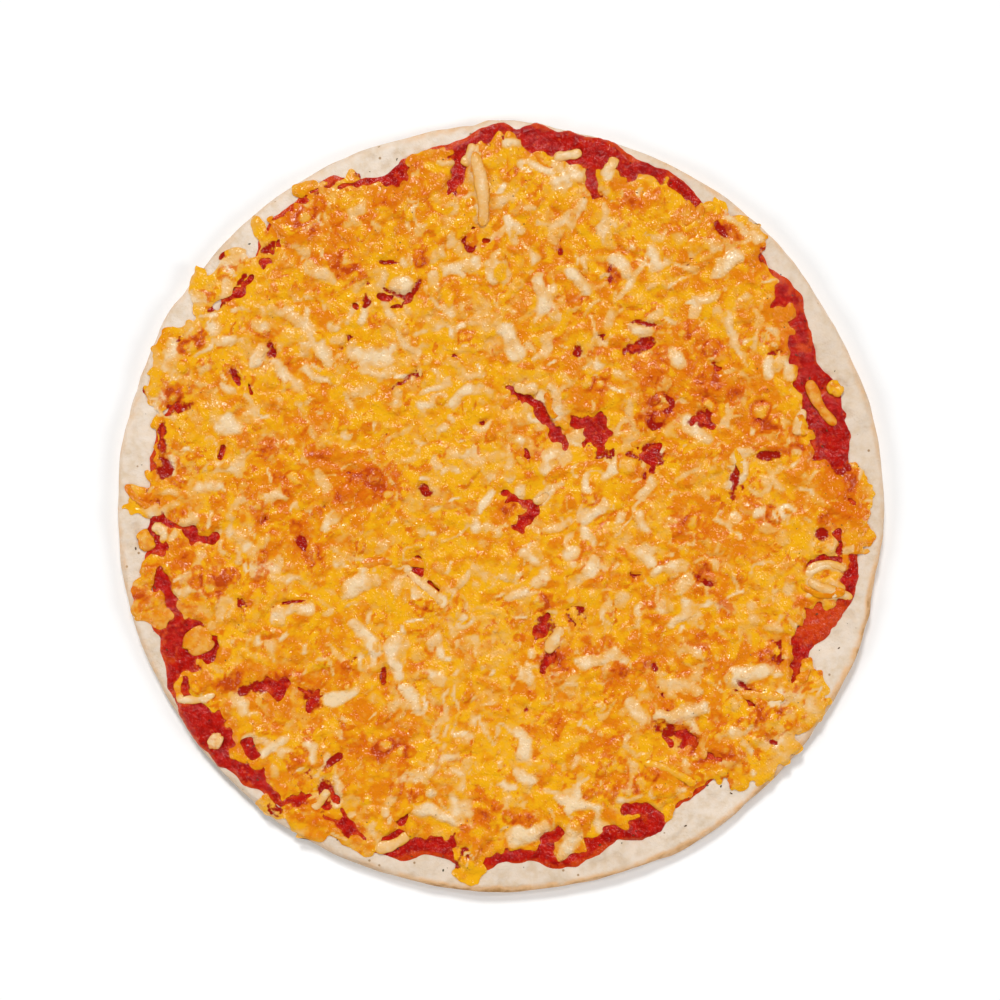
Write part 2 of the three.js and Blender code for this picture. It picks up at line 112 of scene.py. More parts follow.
# Browned patches of the melt: column and row of the middle, length, width and turn, and how dark from 0 to 1.
BROWNED_PX = [
    (305, 216, 14, 9, 10, 0.7), (347, 265, 17, 9, -35, 0.8), (400, 190, 14, 8, 60, 0.4),
    (462, 190, 10, 7, 80, 0.15), (526, 185, 7, 8, 0, 0.6), (486, 240, 9, 6, 0, 0.45),
    (635, 206, 9, 8, 0, 0.7), (725, 226, 10, 8, -60, 0.8), (615, 277, 4, 10, 0, 0.7),
    (572, 300, 10, 5, -20, 0.5), (190, 345, 16, 9, 70, 0.6), (172, 398, 12, 9, 20, 0.9),
    (215, 368, 10, 8, 0, 0.4), (270, 450, 10, 8, 0, 0.7), (291, 475, 12, 9, -40, 0.8),
    (320, 458, 9, 8, 0, 0.7), (375, 478, 17, 14, 30, 1), (345, 497, 14, 7, 25, 0.8),
    (386, 510, 8, 8, 0, 0.45), (268, 515, 16, 6, -10, 0.5), (310, 550, 15, 7, -30, 0.6),
    (205, 450, 16, 12, 60, 0.1), (175, 470, 9, 12, 0, 0.5), (212, 585, 22, 10, 10, 0.7),
    (265, 572, 7, 10, 0, 0.6), (180, 560, 10, 10, 0, 0.7), (230, 680, 16, 7, 10, 0.8),
    (282, 683, 12, 9, 30, 1), (311, 700, 8, 13, 0, 0.75), (340, 672, 11, 6, 20, 0.4),
    (382, 748, 25, 8, 0, 0.7), (300, 755, 14, 8, 60, 0.5), (402, 785, 12, 7, -40, 0.7),
    (310, 790, 12, 8, 10, 0.3), (545, 603, 6, 12, 0, 0.8), (552, 655, 10, 12, 0, 0.9),
    (590, 642, 9, 6, 0, 0.5), (623, 675, 16, 7, 20, 0.8), (652, 610, 5, 13, 0, 0.6),
    (482, 813, 16, 6, 40, 0.7), (520, 818, 12, 5, 0, 0.4), (688, 738, 14, 7, -40, 1),
    (708, 758, 16, 7, 10, 0.9), (635, 783, 24, 6, 20, 0.5), (850, 492, 8, 20, 0, 1),
    (832, 462, 10, 9, 0, 0.9), (828, 520, 9, 9, 0, 0.7), (770, 519, 12, 7, 20, 0.6),
    (700, 572, 12, 8, -10, 0.9), (718, 600, 12, 6, -30, 0.7), (688, 525, 9, 12, 50, 0.7),
    (652, 378, 9, 14, 0, 0.9), (657, 410, 12, 12, 0, 1), (600, 388, 8, 8, 0, 0.7), (582, 352, 7, 5, 0, 0.6),
    (704, 385, 12, 12, 0, 0.9), (737, 397, 9, 7, 0, 0.8), (765, 420, 8, 10, 0, 0.7),
    (790, 450, 16, 7, 10, 1), (682, 334, 8, 9, 0, 0.7), (712, 346, 12, 6, 0, 0.7), (790, 340, 6, 9, 0, 0.8),
    (440, 520, 10, 6, 0, 0.3), (700, 640, 10, 8, 0, 0.6), (770, 652, 10, 6, 0, 0.4),
    (605, 740, 14, 9, 0, 0.1), (560, 720, 12, 7, 30, 0.4), (430, 250, 14, 7, 20, 0.5),
    (470, 330, 9, 7, 0, 0.1), (750, 690, 8, 6, 0, 0.6), (205, 300, 8, 12, 0, 0.4),
    (232, 262, 14, 7, 40, 0.4), (765, 715, 30, 24, 0, 0.3), (740, 770, 16, 10, 40, 0.3),
    (800, 690, 12, 16, 0, 0.3), (300, 808, 16, 7, -35, 0.6), (142, 595, 7, 14, 0, 0.7),
    (345, 826, 16, 6, -25, 0.4), (150, 505, 8, 9, 0, 0.5), (500, 502, 9, 8, 0, 0.4),
    (800, 600, 10, 7, 0, 0.4),
]

# Broad stretches of the melt: column and row of the middle, length, width, turn, and how much more orange.
STRETCHES_PX = [
    (330, 240, 55, 28, 20, 0.25), (350, 480, 42, 32, 0, 0.42), (260, 690, 36, 20, 0, 0.35),
    (410, 760, 46, 16, 0, 0.12), (730, 390, 52, 38, -10, 0.38), (840, 500, 18, 40, 0, 0.45),
    (700, 550, 32, 28, 0, 0.32), (620, 690, 52, 22, 0, 0.18), (195, 570, 22, 50, 0, 0.25),
    (700, 240, 40, 22, -40, 0.3), (480, 205, 30, 16, 0, -0.15), (655, 485, 16, 14, 0, 0.2),
    (450, 430, 48, 38, 0, -0.34), (430, 620, 62, 52, 0, -0.22), (770, 710, 38, 36, 0, -0.24),
    (390, 350, 34, 24, 0, -0.3), (520, 740, 30, 24, 0, -0.25), (220, 320, 20, 30, 0, -0.2),
    (360, 480, 22, 14, 0, 0.4), (710, 755, 16, 10, -30, 0.6), (300, 540, 14, 12, 0, 0.05),
    (385, 750, 26, 14, 0, 0.15), (212, 465, 22, 30, 0, -0.35), (425, 495, 16, 14, 0, -0.3),
    (655, 630, 14, 26, 0, 0.25), (508, 430, 16, 30, 0, 0.3), (420, 580, 30, 12, 0, 0.2),
    (630, 360, 14, 16, 0, 0.25), (570, 670, 14, 10, 0, 0.2), (348, 370, 10, 10, 0, 0.3),
    (750, 430, 24, 12, 0, 0.2), (490, 700, 10, 14, 0, 0.15), (680, 770, 16, 10, 0, 0.25),
    (310, 718, 10, 8, 0, 0.25), (325, 450, 20, 10, 0, 0.2), (440, 750, 10, 14, 0, -0.25),
    (605, 765, 10, 18, 0, -0.25), (450, 325, 16, 8, 0, -0.25), (240, 530, 14, 10, 0, -0.3),
    (305, 802, 34, 16, -30, 0.3), (150, 588, 16, 34, 0, 0.45), (150, 500, 14, 14, 0, 0.4),
    (205, 625, 14, 14, 0, 0.25), (690, 580, 18, 14, 0, 0.15), (690, 660, 16, 12, 0, 0.25),
    (345, 360, 12, 12, 0, 0.2), (400, 800, 14, 12, 0, 0.12), (740, 230, 18, 14, 0, 0.2),
    (560, 440, 14, 14, 0, 0.2),
]

# Stretches with more or less of the pale kind: column and row of the middle, length, width, turn, how much.
PALER_PX = [
    (203, 315, 34, 14, 80, 0.2), (240, 420, 22, 12, 0, 0.12), (440, 315, 50, 14, 0, 0.14),
    (290, 360, 16, 14, 0, 0.16), (490, 205, 18, 12, 0, 0.15), (240, 540, 16, 14, 0, 0.18),
    (278, 650, 14, 14, 0, 0.2), (370, 650, 14, 16, 0, 0.2), (445, 690, 14, 46, 0, 0.22),
    (590, 360, 12, 12, 0, 0.18), (770, 498, 14, 12, 0, 0.2), (785, 730, 26, 16, 60, 0.22),
    (300, 778, 12, 10, 0, 0.15), (700, 190, 22, 14, -40, -0.12), (435, 450, 14, 16, 0, -0.15),
    (402, 540, 14, 10, 0, -0.15), (735, 540, 26, 14, 0, -0.15), (585, 495, 14, 12, 0, -0.12),
    (690, 685, 14, 14, 0, -0.15), (645, 640, 14, 20, 60, -0.1), (650, 470, 14, 12, 0, -0.1),
    (320, 390, 14, 14, 0, -0.12), (430, 500, 16, 14, 0, 0.25), (490, 330, 14, 12, 0, 0.25),
    (345, 360, 12, 12, 0, -0.2), (690, 662, 14, 12, 0, -0.2), (520, 800, 14, 12, 0, -0.15),
    (800, 500, 12, 12, 0, 0.12), (740, 230, 16, 12, 0, -0.15),
]

# Narrow clefts between the shreds where dark red shows, and one painted shadow: column and row, length, width
# and turn.
CLEFTS_AND_SHADOW_PX = [
    (396, 294, 10, 1.8, 160), (414, 291, 8, 2, 60), (388, 262, 6, 1.6, 0), (271, 349, 3, 7, 0),
    (236, 375, 5, 3, -60), (643, 323, 8, 1.8, -8), (303, 545, 6, 3, -60), (290, 602, 8, 1.4, 5),
    (268, 248, 5, 3, 30), (243, 278, 6, 2, 50), (217, 305, 6, 2, 30), (425, 490, 5, 3, -30),
    (402, 382, 9, 1.6, 35), (383, 674, 2, 6, 0), (640, 346, 9, 5, 20), (653, 452, 8, 6, -50),
    # painted shadow: the row at 735, 480 is the shadow under a curled shred, painted dark red as a cleft
    (667, 405, 5, 5, 60), (655, 425, 6, 3, 0), (702, 418, 8, 4.6, 20), (735, 480, 3, 12, -10),
    (545, 626, 5, 7, 30), (551, 656, 4, 7, -30), (690, 737, 8, 2.4, -40), (668, 730, 8, 5, -30),
    (655, 667, 4, 4, 0), (700, 578, 9, 2.4, -30), (770, 455, 9, 3, 10), (578, 352, 3, 4, 0),
    (610, 275, 2, 8, 0), (745, 687, 6, 1.8, -40), (770, 741, 6, 2, -20), (310, 697, 5, 9, 10),
    (255, 688, 12, 4, 10), (332, 762, 8, 2.4, 40), (326, 792, 8, 5, 80), (820, 535, 5, 4, 0),
    (842, 470, 6, 4, 40), (720, 228, 7, 2.4, -50), (366, 300, 3, 5, 0), (162, 440, 3, 12, 0),
    (165, 470, 5, 6, 0), (180, 405, 8, 4, 20), (455, 180, 2, 8, 0), (590, 170, 3, 7, 0),
]

# Narrow branches of the gaps, where the melt is parted right through: column and row, length, width and turn.
BRANCHES_PX = [
    (508, 389, 4, 2.4, -30), (521, 397, 9, 2.8, -24), (540, 411, 9, 3, -52), (557, 434, 10, 2.4, -54),
    (569, 450, 6, 1.3, -70), (584, 420, 8, 2.6, 4), (604, 424, 9, 2.4, -60), (598, 443, 8, 2.6, -62),
    (505, 492, 5, 1.7, -40), (520, 500, 9, 2.2, -20), (541, 498, 5, 1.8, 55), (527, 519, 11, 3, 48),
    (513, 528, 4, 2.2, 20), (642, 448, 5, 1.4, -30), (654, 450, 5, 1.8, 40), (652, 466, 8, 2, 76),
    (640, 347, 7, 2, 12), (697, 418, 6, 2.6, 30), (708, 426, 5, 2.2, -40), (417, 566, 6, 2.2, 90),
    (412, 576, 6, 1.6, 30), (735, 470, 6, 1.2, 95), (738, 488, 4, 1.2, -20), (669, 738, 5, 1.6, -50),
    (688, 742, 9, 2.2, -38), (747, 697, 8, 1, -38), (797, 671, 8, 2, 62), (548, 622, 5, 2.2, 70),
    (540, 632, 4, 2, 20), (553, 655, 5, 2, -50), (313, 700, 8, 2.4, 76), (273, 684, 12, 3, 12),
    (300, 690, 8, 2, -30), (333, 795, 8, 2, -60), (156, 580, 8, 2.6, 82), (301, 797, 7, 2.6, 20),
    (200, 538, 10, 3, -8), (172, 410, 7, 2.2, 30), (162, 440, 8, 1.6, 92), (719, 366, 3, 1.4, 0),
    (345, 812, 5, 1.8, -50), (246, 281, 6, 1.8, 38), (240, 290, 4, 2, 50), (219, 305, 4, 2.4, 45),
    (275, 247, 8, 1.9, 60), (266, 266, 5, 2, 60), (354, 306, 3, 2, 90), (236, 378, 4, 2.4, -60),
    (250, 388, 5, 1.8, -70), (271, 350, 5, 1.8, -70), (224, 451, 5, 2.2, 85), (383, 297, 6, 1.6, -8),
    (408, 298, 6, 2, 50), (397, 309, 6, 1.8, -10), (486, 241, 4, 2.4, 20), (475, 225, 3, 1.6, 60),
    (425, 490, 3, 2.4, -60), (461, 171, 9, 3.6, 80), (452, 188, 7, 2.2, 55), (357, 183, 14, 2.2, 15),
    (399, 178, 6, 2.6, 30), (592, 180, 14, 2.6, -80), (775, 268, 15, 4.4, -62), (781, 296, 9, 4.6, -80),
    (776, 306, 5, 3, 0), (794, 352, 9, 3.4, -85), (840, 541, 8, 1.8, -80), (816, 560, 6, 1.8, 25),
    (833, 558, 8, 1.8, -4), (640, 811, 13, 4.2, -15), (655, 820, 7, 4.4, 0), (552, 837, 9, 3.4, 30),
    (163, 584, 12, 3, -66), (174, 609, 7, 3, -72), (170, 640, 14, 3.4, 88), (172, 527, 9, 2, -28),
    (250, 748, 8, 4.6, -60), (403, 820, 5, 2.4, 60), (384, 676, 4, 1.6, 85), (797, 656, 10, 2.8, 78),
    (713, 758, 8, 2, -28), (155, 548, 8, 3.4, -60), (430, 585, 7, 1.3, -48), (545, 664, 6, 1.8, 65),
    (577, 352, 3, 1.6, 40), (178, 632, 12, 4.4, -80), (166, 590, 12, 3.6, -66), (203, 716, 12, 5, -60),
    (318, 190, 12, 1.3, 20), (290, 203, 8, 1.6, 36), (275, 220, 7, 1.8, 65), (262, 262, 6, 1.6, 50),
    (230, 296, 6, 1.6, 45), (190, 655, 8, 3, -20), (186, 690, 8, 3, -80), (225, 735, 10, 2.4, -55),
    (254, 782, 10, 3, -55), (272, 796, 9, 2.4, -30), (290, 802, 8, 2.4, 0), (322, 806, 8, 2, -10),
]

# Tongues of the melt that narrow the gaps: column and row, length, width and turn.
TONGUES_PX = [
    (544, 437, 15, 2.6, -52), (566, 424, 9, 2.2, -55), (531, 391, 8, 1.8, -20), (516, 408, 7, 2.2, -30),
    (541, 517, 8, 2, 60), (520, 511, 5, 2, 20), (574, 436, 6, 2.4, 60), (614, 412, 7, 2.4, -30),
    (262, 231, 11, 4.2, -69), (304, 187, 9, 4.4, 40), (232, 254, 10, 4, 12), (640, 183, 10, 3.8, 15),
    (684, 203, 8, 3.4, -40), (849, 515, 9, 5, 88), (197, 281, 9, 4, 70), (790, 311, 5, 4.2, 60),
    (764, 412, 6, 3.4, 60),
]

# Rings where a bubble burst or a shred curled up: column and row, radius, width of its dark line, how dark.
RINGS_PX = [
    (660, 404, 3.9, 1.1, 1), (707, 405, 2.6, 0.9, 0.9), (480, 403, 2, 0.8, 0.5), (427, 362, 2.9, 1.6, 0.4),
    (590, 385, 2.4, 1.4, 0.6), (682, 334, 2.4, 1, 0.6), (712, 348, 2.6, 1.1, 0.8), (768, 338, 2.4, 1, 0.7),
    (763, 410, 3, 1.2, 0.9), (602, 386, 2, 1, 0.7), (626, 465, 3.2, 1.1, 0.5), (541, 604, 2.8, 1.2, 0.7),
    (416, 655, 3, 1.4, 0.5), (462, 614, 2.6, 0.9, 0.5), (375, 478, 3.2, 1.2, 0.9), (386, 492, 2.2, 1, 0.8),
    (345, 262, 2.8, 1.2, 0.8), (305, 216, 2.6, 1.1, 0.7), (297, 478, 2.6, 1.1, 0.8),
    (310, 552, 2.8, 1.2, 0.8), (690, 522, 2.6, 1, 0.7), (702, 574, 2.8, 1.1, 0.8), (772, 518, 2.4, 1, 0.8),
    (792, 450, 2.6, 1, 0.9), (212, 585, 3.2, 1.2, 0.6), (230, 678, 2.6, 1, 0.7), (383, 748, 3, 1.2, 0.9),
    (402, 752, 2.2, 1, 0.8), (640, 783, 2.6, 1.1, 0.7), (700, 756, 2.8, 1.1, 0.8), (172, 398, 2.6, 1, 0.8),
    (190, 347, 2.8, 1.1, 0.6), (760, 740, 3.6, 0.9, 0.4), (733, 705, 3.2, 0.9, 0.4),
    (790, 716, 3, 0.9, 0.35), (600, 705, 2.8, 1, 0.4),
]


# ---- plan and draws


def eased(low: float, high: float, value: Array) -> Array:
    """Returns 0 below low and 1 above high, passing smoothly between them."""
    share = np.clip((np.asarray(value) - low) / (high - low), 0.0, 1.0)
    return share * share * (3 - 2 * share)


def bell(value: Array, spread: float) -> Array:
    """Returns 1 where the value is 0, falling away to both sides over the spread."""
    return np.exp(-((value / spread) ** 2))


def turned(places: Array, degrees: float) -> Array:
    """Returns places in plan turned counter-clockwise about the middle."""
    c, s = math.cos(math.radians(degrees)), math.sin(math.radians(degrees))
    return places @ np.array([[c, s], [-s, c]])


def polar(places: Array) -> tuple[Array, Array]:
    """Returns the directions of places from the middle in radians, and their distances from it."""
    return np.arctan2(places[:, 1], places[:, 0]), np.hypot(places[:, 0], places[:, 1])


@dataclass(frozen=True)
class Lumps:
    """Soft unevenness of one size.

    Attributes:
        size: rough width of its lumps, in millimetres.
        height: how strong it is.
        seed: start of its draw.
    """

    size: float
    height: float
    seed: int


@dataclass(frozen=True)
class PlanGrid:
    """A square grid over the pizza in plan, on which reliefs and masks are worked out.

    Attributes:
        cell: rough width of a cell, in millimetres.
        half: half the width of the grid.
    """

    cell: float
    half: float = 131.0

    @property
    def cells(self) -> int:
        """Returns the number of cells along a side."""
        return int(round(2 * self.half / self.cell))

    @property
    def step(self) -> float:
        """Returns the true width of a cell, in millimetres."""
        return 2 * self.half / self.cells

    def places(self) -> tuple[Array, Array]:
        """Returns the x and y of every grid point, as two square arrays."""
        line = np.linspace(-self.half, self.half, self.cells + 1)
        return np.meshgrid(line, line)

    def zeros(self) -> Array:
        """Returns an empty field."""
        return np.zeros((self.cells + 1, self.cells + 1))

    def blurred(self, values: Array, radius: float) -> Array:
        """Smooths a field.

        Args:
            values: the field.
            radius: standard deviation of the blur, in millimetres.

        Returns:
            The smoothed field.
        """
        waves = np.fft.fftfreq(len(values), self.step)
        keep = np.exp(-2 * (math.pi * radius * waves) ** 2)
        return np.real(np.fft.ifft2(np.fft.fft2(values) * np.outer(keep, keep)))

    def noise(self, size: float, seed: int) -> Array:
        """Makes soft noise with a mean of 0 and a spread of 1.

        Args:
            size: rough width of its lumps, in millimetres.
            seed: start of the draw.

        Returns:
            The field.
        """
        draw = np.random.default_rng(seed).standard_normal((self.cells + 1, self.cells + 1))
        soft = self.blurred(draw, size / 2.4)
        return (soft - soft.mean()) / soft.std()

    def lumps(self, *kinds: Lumps) -> Array:
        """Returns several kinds of unevenness laid over each other."""
        return sum(kind.height * self.noise(kind.size, kind.seed) for kind in kinds)

    def sampled(self, values: Array, x: Array, y: Array) -> Array:
        """Reads a field between its grid points.

        Args:
            values: the field.
            x: places to read, in millimetres.
            y: the same.

        Returns:
            The values there.
        """
        column = np.clip((np.asarray(x) + self.half) / self.step, 0, self.cells - 1e-6)
        row = np.clip((np.asarray(y) + self.half) / self.step, 0, self.cells - 1e-6)
        i, j = column.astype(int), row.astype(int)
        u, v = column - i, row - j
        low = values[j, i] * (1 - u) + values[j, i + 1] * u
        high = values[j + 1, i] * (1 - u) + values[j + 1, i + 1] * u
        return low * (1 - v) + high * v

    def read(self, values: Array, places: Array) -> Array:
        """Returns a field's values at vertices or at points in plan, given one a row."""
        return self.sampled(values, places[:, 0], places[:, 1])

    def window(self, x: float, y: float, reach: float) -> Window:
        """Finds the part of the grid within reach of a place.

        Args:
            x: the place, in millimetres.
            y: the same.
            reach: how far away the part goes.

        Returns:
            Its rows and columns.
        """
        bounds = []
        for middle in (y, x):
            first = int(math.floor((middle - reach + self.half) / self.step))
            last = int(math.ceil((middle + reach + self.half) / self.step)) + 1
            bounds.append(slice(max(first, 0), min(last, self.cells + 1)))
        return bounds[0], bounds[1]


@dataclass(frozen=True)
class Stroke:
    """A shred in plan, in millimetres and degrees.

    Attributes:
        x: its middle.
        y: the same.
        length: from end to end.
        width: from side to side.
        turn: how far it is turned counter-clockwise.
        bend: how far its ends are turned from each other.
    """

    x: float
    y: float
    length: float
    width: float
    turn: float = 0.0
    bend: float = 0.0

    @classmethod
    def at_pixel(cls, column: float, row: float, *sizes: float) -> "Stroke":
        """Returns the stroke whose middle shows at a pixel of the photograph."""
        return cls(*on_plan(column, row), *sizes)

    def bent(self, along: Array) -> tuple[Array, Array]:
        """Returns points of the middle line before it is turned and placed, and the line's heading there."""
        curl = math.radians(self.bend) / self.length
        heading = along * curl
        if abs(curl) > 1e-6:
            return np.stack([np.sin(heading) / curl, (1 - np.cos(heading)) / curl], axis=1), heading
        return np.stack([along, np.zeros_like(along)], axis=1), heading

    def placed(self, points: Array) -> Array:
        """Returns points turned and placed as the shred lies."""
        return turned(points, self.turn) + (self.x, self.y)

    def axis(self, count: int = 9) -> Array:
        """Returns points along the middle line, from one rounded end's centre to the other's."""
        straight = max(self.length - self.width, 0.05)
        return self.placed(self.bent(np.linspace(-straight / 2, straight / 2, count))[0])

    def distance(self, x: Array, y: Array) -> Array:
        """Measures how far places lie from the middle line.

        Args:
            x: the places, in millimetres.
            y: the same.

        Returns:
            The distances, in half widths.
        """
        points = self.axis()
        nearest = np.full(x.shape, np.inf)
        for start, end in zip(points[:-1], points[1:]):
            run = end - start
            share = ((x - start[0]) * run[0] + (y - start[1]) * run[1]) / max(run @ run, 1e-9)
            share = np.clip(share, 0.0, 1.0)
            gap = np.hypot(x - start[0] - share * run[0], y - start[1] - share * run[1])
            nearest = np.minimum(nearest, gap)
        return nearest / (self.width / 2)

    def ridge(self, grid: PlanGrid, x: Array, y: Array) -> tuple[Window, Array]:
        """Returns the window round the shred, and how far inside its outline the places there lie."""
        part = grid.window(self.x, self.y, self.length)
        return part, (1 - self.distance(x[part], y[part])) * self.width / 2


class CadSurface:
    """The upper surface of one or more meshes, found by looking straight down on them."""

    def __init__(self, *solids: Piece) -> None:
        """Args:
        solids: the objects, which sit at the origin.
        """
        self.trees = []
        for solid in solids:
            mesh = solid.data
            places = [tuple(v.co) for v in mesh.vertices]
            self.trees.append(BVHTree.FromPolygons(places, [tuple(p.vertices) for p in mesh.polygons]))

    def tops(self, x: Array, y: Array, missing: float = 0.0) -> Array:
        """Finds the highest surface over places in plan.

        Args:
            x: places, in millimetres.
            y: the same.
            missing: the height where there is nothing.

        Returns:
            The heights, in millimetres.
        """
        heights = np.full(x.size, missing)
        for index, (px, py) in enumerate(zip(x.ravel() * MM, y.ravel() * MM)):
            for tree in self.trees:
                hit = tree.ray_cast((px, py, 1.0), (0.0, 0.0, -1.0))[0]
                if hit is not None:
                    heights[index] = max(heights[index], hit.z / MM)
        return heights.reshape(x.shape)


# ---- mesh making


class Mask(Enum):
    """Names of the values painted on the meshes."""

    TONE = "tone"
    PALE = "pale"
    # browning, and in the melt also painted shade along the creases round the shreds
    BROWN = "brown_and_shade"
    # red in clefts, and one painted shadow under a curled shred
    CLEFT = "cleft"
    FRINGE = "fringe"
    GOLDEN = "golden"
    # painted shade of the base: darker in its hollows and creases, and round the rim by direction
    CRUMB = "crumb"


def deselect_everything() -> None:
    """Clears the selection, so that the next operator acts on the new piece alone."""
    if bpy.context.object is not None and bpy.context.object.mode != "OBJECT":
        bpy.ops.object.mode_set(mode="OBJECT")
    bpy.ops.object.select_all(action="DESELECT")


def open_mesh(elements: str) -> None:
    """Opens the active piece's mesh with nothing selected.

    Args:
        elements: what is selected in it next, EDGE or FACE.
    """
    bpy.ops.object.mode_set(mode="EDIT")
    bpy.ops.mesh.select_mode(type=elements)
    bpy.ops.mesh.select_all(action="DESELECT")


def close_mesh() -> None:
    """Closes the mesh that is being edited."""
    bpy.ops.object.mode_set(mode="OBJECT")


def select_border() -> None:
    """Selects the open border of the mesh that is being edited."""
    bpy.ops.mesh.select_non_manifold(
        use_wire=False, use_multi_face=False, use_non_contiguous=False, use_verts=False
    )


def point_outwards() -> None:
    """Turns all faces of the mesh that is being edited outwards."""
    bpy.ops.mesh.select_all(action="SELECT")
    bpy.ops.mesh.normals_make_consistent(inside=False)


def corners(piece: Piece) -> Array:
    """Returns the vertices of a piece, in metres, one a row."""
    places = np.zeros(len(piece.data.vertices) * 3)
    piece.data.vertices.foreach_get("co", places)
    return places.reshape(-1, 3)


def cad_corners(node: str) -> Array:
    """Returns the vertices of a CAD node, in millimetres, one a row."""
    return corners(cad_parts[node]) / MM


def put_corners(piece: Piece, places: Array) -> None:
    """Moves the vertices of a piece to new places, in metres."""
    piece.data.vertices.foreach_set("co", places.astype(np.float32).ravel())
    piece.data.update()


def paint(piece: Piece, mask: Mask, values: Array) -> None:
    """Gives a piece a value at each vertex, for its material to read."""
    layer = piece.data.attributes.new(mask.value, "FLOAT", "POINT")
    layer.data.foreach_set("value", values.astype(np.float32).ravel())


def smooth_shaded(piece: Piece) -> None:
    """Shades a piece smoothly all over."""
    piece.data.polygons.foreach_set("use_smooth", np.ones(len(piece.data.polygons), bool))
    piece.data.update()


def new_object(name: str, data: bpy.types.ID) -> Piece:
    """Returns a new object in the scene, made of a mesh, a camera or a light."""
    piece = bpy.data.objects.new(name, data)
    bpy.context.scene.collection.objects.link(piece)
    return piece


def joined(name: str, places: Sequence[Array], faces: Array) -> Piece:
    """Makes one object of many copies of a shape.

    Args:
        name: its name.
        places: the vertices of each copy, in millimetres.
        faces: the faces of one copy.

    Returns:
        The new object.
    """
    size = len(places[0])
    every_face = np.concatenate([faces + index * size for index in range(len(places))])
    mesh = bpy.data.meshes.new(name)
    mesh.from_pydata((np.concatenate(places) * MM).tolist(), [], every_face.tolist())
    return new_object(name, mesh)


def taken_apart(piece: Piece) -> Mould:
    """Returns a piece's vertices and faces, and removes it."""
    mould = corners(piece), np.array([tuple(p.vertices) for p in piece.data.polygons])
    bpy.data.objects.remove(piece)
    return mould


@dataclass
class Sheet:
    """A closed sheet of food that lies on what is below it, with a top of any relief.

    Attributes:
        name: name of its object.
        grid: the plan grid.
        inside: field that is above 0 where the sheet is.
        floor: height of its flat hidden underside, in millimetres.
        lifted: height of its top while it is closed, well above the floor.
        draws: in how many steps its border is drawn in.
        pull: how far each step goes, as a share of what is left.
    """

    name: str
    grid: PlanGrid
    inside: Array
    floor: float
    lifted: float = 50.0
    draws: int = 6
    pull: float = 0.6

    def kept_cells(self) -> Array:
        """Finds the cells of the sheet, adding some where two touch only at a corner.

        Returns:
            Which cells belong to it, without those that aren't joined to the middle.
        """
        inside = self.inside
        middle = (inside[:-1, :-1] + inside[1:, :-1] + inside[:-1, 1:] + inside[1:, 1:]) / 4
        cells = middle > 0
        a, b, c, d = cells[:-1, :-1], cells[:-1, 1:], cells[1:, :-1], cells[1:, 1:]
        while (crossed := (a & d & ~b & ~c) | (b & c & ~a & ~d)).any():
            for part in (a, b, c, d):
                part |= crossed
        reached = np.zeros_like(cells)
        central = np.hypot(*np.indices(cells.shape) - len(cells) / 2) < len(cells) / 8
        reached[tuple(np.argwhere(cells & central)[0])] = True
        while True:
            grown = reached.copy()
            grown[1:] |= reached[:-1]
            grown[:-1] |= reached[1:]
            grown[:, 1:] |= reached[:, :-1]
            grown[:, :-1] |= reached[:, 1:]
            grown &= cells
            if (grown == reached).all():
                return reached
            reached = grown

    def make(self, top: Array) -> Piece:
        """Makes the sheet.

        Args:
            top: height of its top over the grid, in millimetres.

        Returns:
            The new object.
        """
        deselect_everything()
        cells, size = self.grid.cells, 2 * self.grid.half * MM
        bpy.ops.mesh.primitive_grid_add(x_subdivisions=cells, y_subdivisions=cells, size=size)
        piece = bpy.context.object
        piece.name = piece.data.name = self.name
        self._cut_out(piece)
        places = corners(piece)
        places[:, 2] = self.lifted * MM
        put_corners(piece, places)
        self._close()
        places = corners(piece) / MM
        under = places[:, 2] < self.lifted / 2
        self._draw_in_border(places, under)
        places[~under, 2] = self.grid.read(top, places[~under])
        put_corners(piece, places * MM)
        smooth_shaded(piece)
        return piece

    def _cut_out(self, piece: Piece) -> None:
        """Deletes the cells outside the sheet.

        Args:
            piece: the whole grid.
        """
        mesh = piece.data
        middles = np.zeros(len(mesh.polygons) * 3)
        mesh.polygons.foreach_get("center", middles)
        middles = middles.reshape(-1, 3) / MM
        column = np.floor((middles[:, 0] + self.grid.half) / self.grid.step).astype(int)
        row = np.floor((middles[:, 1] + self.grid.half) / self.grid.step).astype(int)
        open_mesh("FACE")
        close_mesh()
        mesh.polygons.foreach_set("select", ~self.kept_cells()[row, column])
        bpy.ops.object.mode_set(mode="EDIT")
        bpy.ops.mesh.delete(type="FACE")
        close_mesh()

    def _draw_in_border(self, places: Array, under: Array) -> None:
        """Moves the stepped border, and what lies below it, onto the line where the inside field passes 0.

        Args:
            places: the vertices, in millimetres, which are moved.
            under: which of them are of the underside.
        """
        fine = np.round(places[:, :2] * 1000)
        keys = fine[:, 0] * 1e6 + fine[:, 1]
        border = np.isin(keys, keys[under])
        x, y = places[border, 0], places[border, 1]
        step, stride = self.grid.step, 0.3 * self.grid.step
        slope_y, slope_x = np.gradient(self.inside, step)
        for _ in range(self.draws):
            value = self.grid.sampled(self.inside, x, y)
            gx, gy = self.grid.sampled(slope_x, x, y), self.grid.sampled(slope_y, x, y)
            shift = np.clip(value / np.maximum(gx * gx + gy * gy, 1e-4), -step, step)
            x = x - self.pull * np.clip(shift * gx, -stride, stride)
            y = y - self.pull * np.clip(shift * gy, -stride, stride)
        places[border, 0], places[border, 1] = x, y

    def _close(self) -> None:
        """Turns the border of the active piece down to the underside and fills it."""
        open_mesh("EDGE")
        select_border()
        bpy.ops.mesh.mark_sharp()
        bpy.ops.mesh.extrude_edges_move()
        bpy.ops.transform.resize(value=(1, 1, 0), center_override=(0, 0, self.floor * MM))
        bpy.ops.mesh.fill(use_beauty=False)
        point_outwards()
        close_mesh()


# ---- finishes


